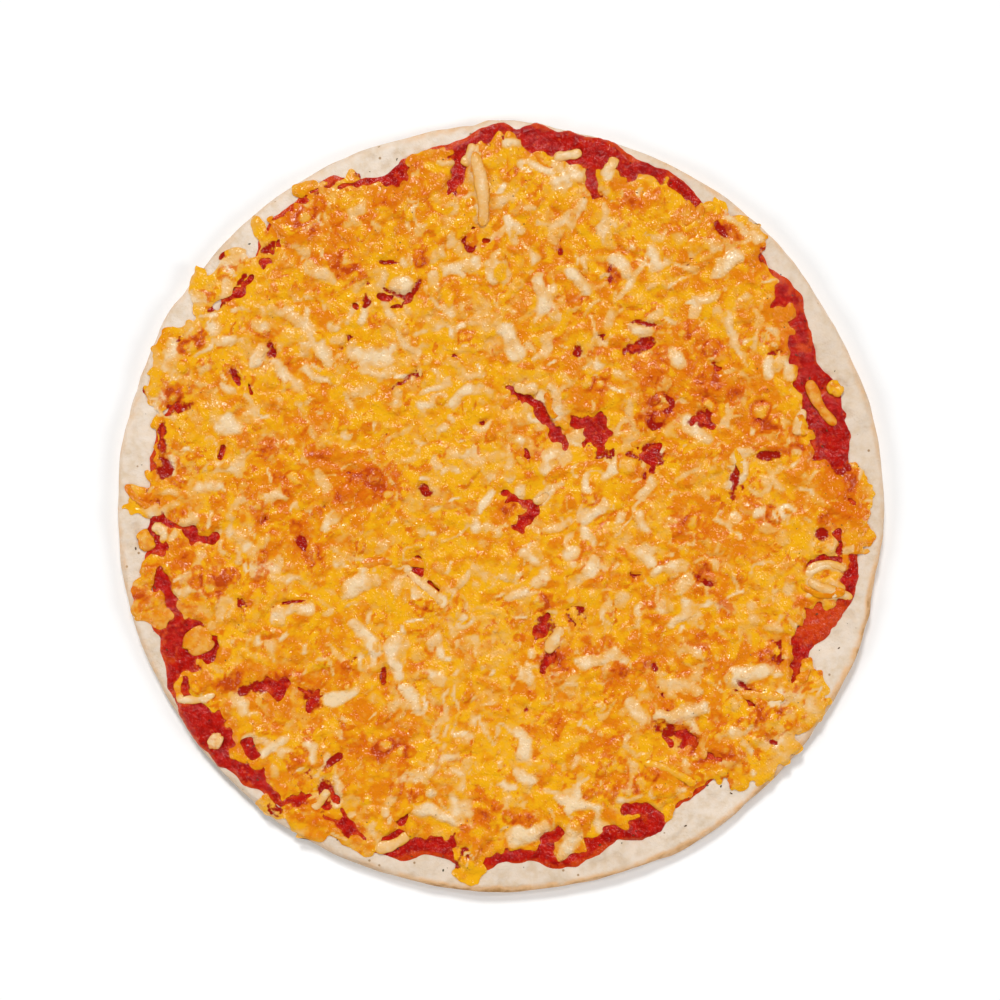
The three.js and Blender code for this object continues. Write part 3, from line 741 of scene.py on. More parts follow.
def linear(code: str) -> tuple[float, float, float, float]:
    """Returns the shader's colour for a colour code such as "f2a52a"."""
    channels = [int(code[i : i + 2], 16) / 255 for i in (0, 2, 4)]
    return (*[c / 12.92 if c <= 0.04045 else ((c + 0.055) / 1.055) ** 2.4 for c in channels], 1.0)


@dataclass(frozen=True)
class Layer:
    """A colour that is laid over another where a value is high.

    Attributes:
        code: its colour code.
        low: value at which it begins to show.
        high: value at which it shows fully.
        cover: how much it then covers, from 0 to 1.
    """

    code: str
    low: float
    high: float
    cover: float = 1.0


class Workbench:
    """A material's nodes while it is being mixed."""

    def __init__(self, tree: bpy.types.NodeTree) -> None:
        """Args:
        tree: the node tree to work in.
        """
        self.tree = tree

    def add(self, kind: str, **settings: object) -> bpy.types.Node:
        """Returns a new node with its properties set."""
        node = self.tree.nodes.new(kind)
        for name, value in settings.items():
            setattr(node, name, value)
        return node

    def feed(self, target: Socket, source: object) -> None:
        """Joins a socket to a socket, or sets its value."""
        if isinstance(source, Socket):
            self.tree.links.new(source, target)
        else:
            target.default_value = source

    def painted(self, mask: Mask) -> Socket:
        """Returns the value painted on the mesh under a name."""
        return self.add("ShaderNodeAttribute", attribute_name=mask.value).outputs["Fac"]

    def sum(self, kind: str, first: object, second: object = 0.0) -> Socket:
        """Returns the result of an arithmetic node of that kind."""
        node = self.add("ShaderNodeMath", operation=kind)
        self.feed(node.inputs[0], first)
        self.feed(node.inputs[1], second)
        return node.outputs[0]

    def step(self, value: object, low: float, high: float) -> Socket:
        """Returns 0 below low and 1 above high, passing smoothly between them."""
        node = self.add("ShaderNodeMapRange", interpolation_type="SMOOTHSTEP")
        self.feed(node.inputs["Value"], value)
        node.inputs["From Min"].default_value = low
        node.inputs["From Max"].default_value = high
        return node.outputs["Result"]

    def span(self, value: object, low: float, high: float) -> Socket:
        """Returns a value from 0 to 1 spread out from low to high."""
        node = self.add("ShaderNodeMapRange")
        self.feed(node.inputs["Value"], value)
        node.inputs["To Min"].default_value = low
        node.inputs["To Max"].default_value = high
        return node.outputs["Result"]

    def blend(self, share: object, under: object, over: object) -> Socket:
        """Returns one colour laid over another by a share."""
        node = self.add("ShaderNodeMix", data_type="RGBA")
        self.feed(node.inputs["Factor"], share)
        self.feed(node.inputs[6], under)
        self.feed(node.inputs[7], over)
        return node.outputs[2]

    def shared(self, effect: bpy.types.NodeTree, **values: float) -> Socket:
        """Returns the mask of a shared effect, with its inputs set."""
        group = self.add("ShaderNodeGroup", node_tree=effect)
        for name, value in values.items():
            group.inputs[name].default_value = value
        return group.outputs["Mask"]

    def laid(self, under: object, layer: Layer, value: object) -> Socket:
        """Lays a layer over a colour where a value is high.

        Args:
            under: the colour.
            layer: the layer.
            value: the value.

        Returns:
            The new colour.
        """
        share = self.step(value, layer.low, layer.high)
        if layer.cover < 1.0:
            share = self.sum("MULTIPLY", share, layer.cover)
        return self.blend(share, under, linear(layer.code))

    def broken(self, mask: Mask, grain: Socket, low: float, high: float) -> Socket:
        """Returns a painted value with a grain added to it, which breaks its borders up."""
        return self.sum("ADD", self.painted(mask), self.span(grain, low, high))

    def grain(self, size: float, detail: float = 3.0, seed: float = 0.0) -> Socket:
        """Returns grain of a given size.

        Args:
            size: width of its lumps, in millimetres.
            detail: how many finer grains it holds.
            seed: moves the pattern to another place.

        Returns:
            The mask, from 0 to 1.
        """
        return self.shared(grain_group(), Size=size, Detail=detail, Seed=seed)

    def spots(self, size: float, share: float, seed: float = 0.0) -> Socket:
        """Returns scattered round spots.

        Args:
            size: spacing of the spots, in millimetres.
            share: radius of a spot as a share of the spacing.
            seed: moves the pattern to another place.

        Returns:
            The mask, 1 in the middle of a spot.
        """
        return self.shared(spots_group(), Size=size, Share=share, Seed=seed)


_GROUPS: dict[str, bpy.types.NodeTree] = {}


def new_group(name: str, inputs: dict[str, float]) -> Workbench:
    """Starts a shared effect, which gives a mask.

    Args:
        name: name of the node group.
        inputs: its inputs and their usual values.

    Returns:
        A workbench for its nodes.
    """
    tree = bpy.data.node_groups.new(name, "ShaderNodeTree")
    for label, value in inputs.items():
        socket = tree.interface.new_socket(name=label, in_out="INPUT", socket_type="NodeSocketFloat")
        socket.default_value = value
    tree.interface.new_socket(name="Mask", in_out="OUTPUT", socket_type="NodeSocketFloat")
    _GROUPS[name] = tree
    return Workbench(tree)


def lay_out(bench: Workbench, texture: bpy.types.Node, size: Socket, seed: Socket) -> None:
    """Gives a texture its place on the object.

    Args:
        bench: the workbench.
        texture: the texture's node.
        size: size of its pattern, in millimetres.
        seed: moves the pattern to another place.
    """
    scaled = bench.add("ShaderNodeVectorMath", operation="SCALE")
    bench.feed(scaled.inputs[0], bench.add("ShaderNodeTexCoord").outputs["Object"])
    bench.feed(scaled.inputs["Scale"], bench.sum("DIVIDE", 1.0 / MM, size))
    moved = bench.add("ShaderNodeVectorMath", operation="ADD")
    bench.feed(moved.inputs[0], scaled.outputs[0])
    bench.feed(moved.inputs[1], seed)
    bench.feed(texture.inputs["Vector"], moved.outputs[0])
    texture.inputs["Scale"].default_value = 1.0


def grain_group() -> bpy.types.NodeTree:
    """Returns the shared grain: soft lumps of any size in millimetres."""
    if "food_grain" in _GROUPS:
        return _GROUPS["food_grain"]
    bench = new_group("food_grain", {"Size": 1.0, "Detail": 3.0, "Seed": 0.0})
    given = bench.add("NodeGroupInput").outputs
    noise = bench.add("ShaderNodeTexNoise")
    lay_out(bench, noise, given["Size"], given["Seed"])
    bench.feed(noise.inputs["Detail"], given["Detail"])
    spread = bench.step(noise.outputs["Fac"], 0.3, 0.7)
    bench.feed(bench.add("NodeGroupOutput").inputs["Mask"], spread)
    return bench.tree


def spots_group() -> bpy.types.NodeTree:
    """Returns the shared spots: pits, flecks and pimples of any size in millimetres."""
    if "food_spots" in _GROUPS:
        return _GROUPS["food_spots"]
    bench = new_group("food_spots", {"Size": 2.0, "Share": 0.3, "Seed": 0.0})
    given = bench.add("NodeGroupInput").outputs
    cells = bench.add("ShaderNodeTexVoronoi", feature="F1")
    lay_out(bench, cells, given["Size"], given["Seed"])
    left = bench.sum("SUBTRACT", 1.0, bench.sum("DIVIDE", cells.outputs["Distance"], given["Share"]))
    bench.feed(bench.add("NodeGroupOutput").inputs["Mask"], bench.sum("MAXIMUM", left, 0.0))
    return bench.tree


_MIXED: dict[str, bpy.types.Material] = {}


@dataclass(frozen=True)
class Finish:
    """What every finish says of its surface.

    Attributes:
        name: name of the material.
        roughness: dullest roughness.
        gloss: how much lower the roughness is where it is oily.
        bump: depth of the finest relief, in millimetres.
        shine: how much it mirrors, where 0.5 is usual.
        depth: how much light enters, from 0 to 1.
        scatter: how far red, green and blue light travel inside, in millimetres.
    """

    name: str
    roughness: float
    gloss: float
    bump: float
    shine: float = 0.35
    depth: float = 0.0
    scatter: tuple[float, float, float] = (2.0, 1.0, 0.5)

    def colour(self, bench: Workbench) -> Socket:
        """Returns the colour over the surface."""
        raise NotImplementedError

    def relief(self, bench: Workbench) -> Socket:
        """Returns the height of the finest relief, from 0 to 1."""
        return bench.grain(size=0.6, detail=3.0, seed=3.0)

    def oil(self, bench: Workbench) -> Socket:
        """Returns where the surface is oily, from 0 to 1."""
        return bench.grain(size=1.6, detail=2.0, seed=9.0)

    def material(self) -> bpy.types.Material:
        """Returns the finished material, mixed the first time that it is asked for."""
        if self.name not in _MIXED:
            _MIXED[self.name] = self.mix()
        return _MIXED[self.name]

    def mix(self) -> bpy.types.Material:
        """Mixes the material.

        Returns:
            The new material.
        """
        material = bpy.data.materials.new(self.name)
        material.use_nodes = True
        bench = Workbench(material.node_tree)
        shader = material.node_tree.nodes["Principled BSDF"]
        bench.feed(shader.inputs["Base Color"], self.colour(bench))
        oiled = bench.span(self.oil(bench), self.roughness, self.roughness - self.gloss)
        bench.feed(shader.inputs["Roughness"], oiled)
        bump = bench.add("ShaderNodeBump")
        bump.inputs["Strength"].default_value = 1.0
        bump.inputs["Distance"].default_value = self.bump * MM
        bench.feed(bump.inputs["Height"], self.relief(bench))
        bench.feed(shader.inputs["Normal"], bump.outputs["Normal"])
        shader.inputs["Specular IOR Level"].default_value = self.shine
        shader.inputs["Subsurface Weight"].default_value = self.depth
        shader.inputs["Subsurface Radius"].default_value = [s * MM for s in self.scatter]
        shader.inputs["Subsurface Scale"].default_value = 1.0
        return material


@dataclass(frozen=True)
class BakedDough(Finish):
    """Pale gluten-free dough: cream, mottled, specked, golden where it browned, with painted shade in its
    hollows.
    """

    cream: str = "f2e0cc"
    shade: str = "dcc5a8"
    bloom: str = "efe3d7"
    shade_colour: str = "c4a684"
    speck: Layer = Layer("a88660", low=0.0, high=0.5)
    gold: Layer = Layer("e6b683", low=0.05, high=0.95)
    toast: Layer = Layer("b98549", low=0.85, high=1.5)

    def colour(self, bench: Workbench) -> Socket:
        """Returns cream dough with its painted shade, its specks and its golden border."""
        shaded = bench.grain(size=7.0, detail=4.0, seed=1.0)
        mottled = bench.blend(shaded, linear(self.cream), linear(self.shade))
        floured = bench.sum("MULTIPLY", bench.grain(size=2.2, detail=4.0, seed=5.0), 0.6)
        bloomed = bench.blend(floured, mottled, linear(self.bloom))
        # painted shade: the base's shade mask darkens the dough in its hollows and creases, and round the rim
        # by direction
        shade_share = bench.sum("MULTIPLY", bench.painted(Mask.CRUMB), 0.8)
        pitted = bench.blend(shade_share, bloomed, linear(self.shade_colour))
        specked = bench.laid(pitted, self.speck, bench.spots(size=5.2, share=0.11, seed=2.0))
        uneven = bench.span(bench.grain(size=4.0, detail=4.0, seed=7.0), 0.55, 1.25)
        browning = bench.sum("MULTIPLY", bench.painted(Mask.GOLDEN), uneven)
        return bench.laid(bench.laid(specked, self.gold, browning), self.toast, browning)

    def relief(self, bench: Workbench) -> Socket:
        """Returns a dry, floury grain."""
        return bench.grain(size=0.8, detail=4.0, seed=3.0)


@dataclass(frozen=True)
class TomatoSauce(Finish):
    """Wet sauce: deep red with pulp, brighter where thin, oily orange at its border."""

    deep: str = "980501"
    bright: str = "c01605"
    pulp: Layer = Layer("d0401c", low=0.1, high=0.9)
    oily: Layer = Layer("cf420a", low=0.25, high=0.95)
    fleck: Layer = Layer("641408", low=0.0, high=0.6)

    def colour(self, bench: Workbench) -> Socket:
        """Returns red sauce with lighter pulp, an orange border and dark flecks."""
        thin = bench.grain(size=2.2, detail=4.0, seed=2.0)
        red = bench.blend(thin, linear(self.deep), linear(self.bright))
        pulpy = bench.laid(red, self.pulp, bench.spots(size=2.6, share=0.32, seed=4.0))
        fringe = bench.broken(Mask.FRINGE, bench.grain(size=2.0, detail=3.0, seed=6.0), -0.22, 0.22)
        edged = bench.laid(pulpy, self.oily, fringe)
        return bench.laid(edged, self.fleck, bench.spots(size=4.4, share=0.1, seed=8.0))

    def relief(self, bench: Workbench) -> Socket:
        """Returns fine pulp."""
        return bench.grain(size=1.1, detail=3.0, seed=3.0)


@dataclass(frozen=True)
class MeltedCheese(Finish):
    """The melt: yellow to orange, paler where mild cheese melted in, browned on blisters, with painted shade
    in creases, red in clefts.
    """

    yellow: str = "f0ac10"
    orange: Layer = Layer("e17f08", low=0.0, high=1.0)
    milky: Layer = Layer("e8ab4a", low=0.15, high=0.5, cover=0.75)
    pale: Layer = Layer("eaba7a", low=0.36, high=0.84, cover=0.88)
    cream: Layer = Layer("efd2a8", low=0.74, high=1.2, cover=0.85)
    brown_and_shade: Layer = Layer("d96504", low=0.2, high=0.9, cover=0.82)
    dark: Layer = Layer("b83a08", low=0.9, high=1.6, cover=0.82)
    sauce: Layer = Layer("a01604", low=0.4, high=0.8)

    def colour(self, bench: Workbench) -> Socket:
        """Returns the colours of the melt, laid over each other."""
        tone = bench.broken(Mask.TONE, bench.grain(size=3.0, detail=1.5, seed=1.0), -0.26, 0.26)
        milk = bench.broken(Mask.PALE, bench.grain(size=2.2, detail=1.5, seed=2.0), -0.14, 0.12)
        # the brown mask holds browning and painted shade along the creases round the shreds
        burnt_and_shaded = bench.broken(Mask.BROWN, bench.grain(size=2.1, detail=2.0, seed=4.0), -0.3, 0.3)
        parted = bench.broken(Mask.CLEFT, bench.grain(size=1.4, detail=2.0, seed=6.0), -0.16, 0.16)
        melt = bench.laid(linear(self.yellow), self.orange, tone)
        for layer in (self.milky, self.pale, self.cream):
            melt = bench.laid(melt, layer, milk)
        for layer in (self.brown_and_shade, self.dark):
            melt = bench.laid(melt, layer, burnt_and_shaded)
        return bench.laid(melt, self.sauce, parted)

    def relief(self, bench: Workbench) -> Socket:
        """Returns the fine pimples of boiled cheese, with beads of oil."""
        pimples = bench.sum("MULTIPLY", bench.grain(size=1.3, detail=1.0, seed=3.0), 0.8)
        beads = bench.step(bench.spots(size=1.15, share=0.5, seed=12.0), 0.0, 0.95)
        return bench.sum("ADD", pimples, beads)


@dataclass(frozen=True)
class DryHerb(Finish):
    """Flakes of dried herb."""

    leaf: str = "3c3a18"
    stalk: str = "5a3a1a"

    def colour(self, bench: Workbench) -> Socket:
        """Returns dark green and brown by turns."""
        by_turns = bench.grain(size=3.0, detail=2.0, seed=1.0)
        return bench.blend(by_turns, linear(self.leaf), linear(self.stalk))


# ---- pieces


def dress(piece: Piece, finish: Finish, slot: str, *nodes: str) -> Piece:
    """Finishes a piece and ties it to the part.

    Args:
        piece: the new object.
        finish: its finish.
        slot: the record's material slot, which is not used.
        nodes: the CAD nodes that it stands for.

    Returns:
        The piece.
    """
    piece.data.materials.clear()
    piece.data.materials.append(finish.material())
    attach(piece, BODY)
    if nodes:
        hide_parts(*nodes)
    stands_for = ", ".join(nodes) or "no node"
    LOG.info("%s: %d faces, stands for %s", piece.name, len(piece.data.polygons), stands_for)
    return piece


def reach_about(places: Array, count: int, within: float) -> tuple[Array, Array]:
    """Finds how far an outline reaches in every direction.

    Args:
        places: its corners, in millimetres.
        count: number of directions, of which the last is the first again.
        within: how near in radians a corner has to be to count for a direction.

    Returns:
        The directions in radians, and the reach in each.
    """
    angle, reach = polar(places)
    directions = np.linspace(-math.pi, math.pi, count)
    near = np.abs((angle[None] - directions[:, None] + math.pi) % (2 * math.pi) - math.pi) < within
    return directions, np.where(near, reach[None], 0).max(axis=1)


@dataclass
class BakedBase:
    """The flat baked base with its bare rim.

    Attributes:
        node: the CAD node it stands for.
        sides: number of sides of its rings.
        ring: width between rings near the edge, in millimetres.
        bare: width of the rim that can show.
        covered: from where to where its relief fades out under the sauce.
        foot: rounding from the underside into the side.
        shoulder: rounding from the side into the top.
        bulge: how far the side stands out between the two roundings.
        crumb: its unevenness.
        hollow_depth: depth of its small hollows.
        crease_depth: depth of its fine creases.
        golden_from: direction from which its border is golden, in degrees.
        golden_to: direction up to which it is.
        dusk: how much darker the rim is painted, by direction in degrees: painted shade, least at the top.
        finish: its looks.
    """

    node: str = "base"
    sides: int = 1000
    ring: float = 0.72
    bare: float = 24.0
    covered: tuple[float, float] = (18.0, 26.0)
    foot: float = 2.6
    shoulder: float = 2.4
    bulge: float = 0.05
    crumb: Sequence[Lumps] = (
        Lumps(size=9.0, height=0.3, seed=11),
        Lumps(size=3.2, height=0.12, seed=12),
        Lumps(size=1.5, height=0.045, seed=13),
    )
    hollow_depth: float = 0.42
    crease_depth: float = 0.34
    golden_from: float = 262.0
    golden_to: float = 345.0
    dusk: Sequence[tuple[float, float]] = (
        (0, 0.42), (60, 0.4), (80, 0.1), (150, 0.1), (190, 0.25),
        (250, 0.42), (290, 0.36), (310, 0.12), (340, 0.3), (360, 0.42),
    )
    finish: BakedDough = BakedDough("floury_dough", roughness=0.8, gloss=0.1, bump=0.09)

    def __post_init__(self) -> None:
        """Reads the outline and the levels from the CAD node."""
        places = cad_corners(self.node)
        reach = polar(places)[1]
        self.outline = reach_about(places[reach > 0.975 * reach.max()], count=181, within=0.05)
        self.radius = float(np.median(self.outline[1]))
        surface = CadSurface(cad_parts[self.node])
        self.topped_level = float(surface.tops(np.array([3.0]), np.array([2.0]))[0])
        around = np.linspace(0, 2 * math.pi, 60)
        rim = (self.radius - 6) * np.cos(around), (self.radius - 6) * np.sin(around)
        self.rim_level = float(np.median(surface.tops(*rim)))

    def edge(self, angle: Array) -> Array:
        """Returns the base's radius at angles in radians, in millimetres."""
        return np.interp(np.arctan2(np.sin(angle), np.cos(angle)), *self.outline)

    def profile(self) -> list[tuple[float, float]]:
        """Sets out its rings, from the middle of the top over the edge to the middle of the underside.

        Returns:
            How far inwards from the edge each ring lies, and how high, in millimetres.
        """
        rings = [(self.bare + 70 - 14 * k, self.topped_level) for k in range(6)]
        count = int((self.bare - self.shoulder) / self.ring)
        for inset in np.linspace(self.bare, self.shoulder, count):
            fall = float(eased(13.0, self.bare, inset)) * (self.rim_level - self.topped_level)
            rings.append((float(inset), self.rim_level - fall))
        for k in range(1, 7):
            turn = math.radians(90 - 15 * k)
            height = self.rim_level - self.shoulder * (1 - math.sin(turn))
            rings.append((self.shoulder * (1 - math.cos(turn)), height))
        upright = self.rim_level - self.shoulder - self.foot
        rings.append((-self.bulge, self.foot + upright / 2))
        for k in range(0, 7):
            turn = math.radians(15 * k)
            rings.append((self.foot * (1 - math.cos(turn)), self.foot * (1 - math.sin(turn))))
        return rings + [(inset, 0.0) for inset in (self.foot + 1.2, self.foot + 8, 40.0, 80.0, 110.0)]

    def make(self, grid: PlanGrid) -> Piece:
        """Makes the base, ring by ring.

        Args:
            grid: plan grid for its relief.

        Returns:
            The new object.
        """
        rings = self.profile()
        deselect_everything()
        inset, height = rings[0]
        radius = self.radius - inset
        bpy.ops.mesh.primitive_circle_add(
            vertices=self.sides, radius=radius * MM, fill_type="TRIFAN", location=(0, 0, height * MM)
        )
        piece = bpy.context.object
        piece.name = piece.data.name = "baked_base"
        bpy.ops.object.transform_apply(location=True, rotation=True, scale=True)
        open_mesh("EDGE")
        select_border()
        for inset, level in rings[1:]:
            grown = (self.radius - inset) / radius
            bpy.ops.mesh.extrude_edges_move(TRANSFORM_OT_translate={"value": (0, 0, (level - height) * MM)})
            bpy.ops.transform.resize(value=(grown, grown, 1), center_override=(0, 0, level * MM))
            radius, height = self.radius - inset, level
        bpy.ops.mesh.edge_face_add()
        point_outwards()
        close_mesh()
        self._bake(piece, grid)
        smooth_shaded(piece)
        return piece

    def _bake(self, piece: Piece, grid: PlanGrid) -> None:
        """Gives the ringed base its uneven outline, dimples and hollows, and paints browning and painted
        shade on it.

        Args:
            piece: the base.
            grid: plan grid.
        """
        places = corners(piece) / MM
        angle, reach = polar(places)
        stretch = 1 + (self.edge(angle) / self.radius - 1) * eased(20, 100, reach)
        places[:, :2] *= stretch[:, None]
        x, y, z = places.T
        inset = self.edge(angle) - np.hypot(x, y)
        hollows = eased(0.9, 2.2, grid.sampled(grid.noise(2.6, 14), x, y))
        creases = 1 - eased(0.0, 0.16, np.abs(grid.sampled(grid.noise(12.0, 15), x, y)))
        creases *= eased(0.2, 1.2, grid.sampled(grid.noise(16.0, 16), x, y)) * eased(2.0, 6.0, inset)
        relief = grid.sampled(grid.lumps(*self.crumb), x, y)
        relief -= self.hollow_depth * hollows + self.crease_depth * creases
        bare = eased(self.foot, self.rim_level - 1.0, z) * (1 - eased(*self.covered, inset))
        places[:, 2] += bare * eased(0.5, 4.0, inset + 1.0) * relief
        round_about = angle * self.radius / 2
        ripple = grid.sampled(grid.noise(5.0, 17), (round_about + 400) % 250 - 125, z * 6)
        side = eased(0.4, 2.0, z) * (1 - eased(1.0, 4.0, inset))
        places[:, :2] *= (1 + side * 0.22 * ripple / self.radius)[:, None]
        put_corners(piece, places * MM)
        self._paint_browning(piece, places, inset, grid)
        # painted shade: darker in the hollows and creases, and round the rim by direction, least at the top
        shade = 0.4 * np.clip(hollows * 0.8 + creases, 0, 1)
        shade += np.interp(np.degrees(np.arctan2(y, x)) % 360, *zip(*self.dusk))
        paint(piece, Mask.CRUMB, shade * (1 - eased(*self.covered, inset)))

    def _paint_browning(self, piece: Piece, places: Array, inset: Array, grid: PlanGrid) -> None:
        """Paints where the base browned: its border, most of all at the lower right, its side and underside.

        Args:
            piece: the base.
            places: its vertices, in millimetres.
            inset: how far each lies inwards from the edge.
            grid: plan grid.
        """
        x, y, z = places.T
        degrees = np.degrees(np.arctan2(y, x)) % 360
        lower_right = eased(self.golden_from - 20, self.golden_from, degrees)
        lower_right *= 1 - eased(self.golden_to, self.golden_to + 18, degrees)
        patchy = 0.5 + 0.5 * np.tanh(grid.sampled(grid.noise(22.0, 18), x, y))
        border = 1 - eased(0.4, 3.4, inset)
        golden = border * (0.35 + 0.25 * patchy + 0.6 * lower_right)
        side = (1 - eased(self.rim_level - 1.4, self.rim_level - 0.2, z)) * 0.42
        under = 1 - eased(0.0, 0.8, z)
        toasted = under * (0.35 + 0.5 * eased(0.2, 1.6, grid.sampled(grid.noise(8.0, 19), x, y)))
        paint(piece, Mask.GOLDEN, np.maximum(golden, np.maximum(side, toasted)))


@dataclass
class SpreadSauce:
    """The tomato sauce, spread over the base.

    Attributes:
        node: the CAD node it stands for.
        rounding: width of its rounded edge, in millimetres.
        fringe: width of its oily border.
        wander: unevenness of its edge.
        pulp: unevenness of its top.
        bead: height of the swelling along its edge.
        thin_places: pixels where it is thin and orange, with a radius in millimetres.
        bulges: where it is spread further: direction and half width in degrees, and how far in millimetres.
        finish: its looks.
    """

    node: str = "sauce"
    rounding: float = 1.7
    fringe: float = 1.9
    wander: Sequence[Lumps] = (Lumps(size=5.0, height=0.5, seed=21), Lumps(size=2.2, height=0.22, seed=22))
    pulp: Sequence[Lumps] = (Lumps(size=3.4, height=0.16, seed=23), Lumps(size=1.8, height=0.14, seed=24))
    bead: float = 0.25
    thin_places: Sequence[tuple[float, float, float]] = (
        (822, 618, 14), (803, 446, 6), (705, 752, 9), (285, 206, 7),
        (160, 560, 5), (175, 700, 5), (850, 500, 9),
    )
    bulges: Sequence[tuple[float, float, float]] = (
        (34, 9, 2.5), (49, 5, 0.8), (-37, 5, 0.8), (-142, 9, 1.8), (-126, 7, 1.6), (-159, 6, 2.0),
    )
    finish: TomatoSauce = TomatoSauce("wet_sauce", roughness=0.22, gloss=0.12, bump=0.16, shine=0.22)

    def inside(self, grid: PlanGrid) -> Array:
        """Works out where the sauce is.

        Args:
            grid: plan grid.

        Returns:
            A field above 0 where it is, near its edge the distance in millimetres.
        """
        places = cad_corners(self.node)
        outer = places[polar(places)[1] > 90]
        x, y = grid.places()
        edge = np.interp(np.arctan2(y, x), *reach_about(outer, count=103, within=0.032))
        for direction, spread, further in self.bulges:
            edge += further * bell(np.degrees(np.arctan2(y, x)) - direction, spread)
        return edge - np.hypot(x, y) + grid.lumps(*self.wander)

    def make(self, grid: PlanGrid, base: Piece) -> Piece:
        """Makes the sauce on the base.

        Args:
            grid: plan grid.
            base: the finished base.

        Returns:
            The new object.
        """
        inside = self.inside(grid)
        bed = CadSurface(base).tops(*grid.places(), missing=5.6)
        level = float(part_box(self.node)[1].z) / MM
        rise = np.sqrt(np.clip(1 - (1 - np.clip(inside / self.rounding, 0, 1)) ** 2, 0, 1))
        swelling = self.bead * bell(inside - 1.9, 1.1)
        full = np.maximum(level + grid.lumps(*self.pulp) + swelling, bed + 0.35)
        top = bed - 0.05 + rise * (full - bed + 0.05)
        return Sheet("tomato_sauce", grid, inside, floor=5.2).make(top)

    def oil(self, piece: Piece, grid: PlanGrid, cheese: Array) -> None:
        """Paints where oil has run into the sauce: at its border, in thin places and round the melt.

        Args:
            piece: the finished sauce.
            grid: plan grid.
            cheese: field above 0 where there is cheese, near its edge the distance in millimetres.
        """
        x, y = grid.places()
        oily = 0.8 * (1 - eased(0.2, self.fringe, self.inside(grid)))
        oily = np.maximum(oily, 0.75 * eased(-1.3, 0.1, cheese))
        for column, row, radius in self.thin_places:
            px, py = on_plan(column, row)
            oily = np.maximum(oily, 0.8 * (1 - eased(0.5, 1.0, np.hypot(x - px, y - py) / radius)))
        paint(piece, Mask.FRINGE, grid.read(oily, corners(piece) / MM))


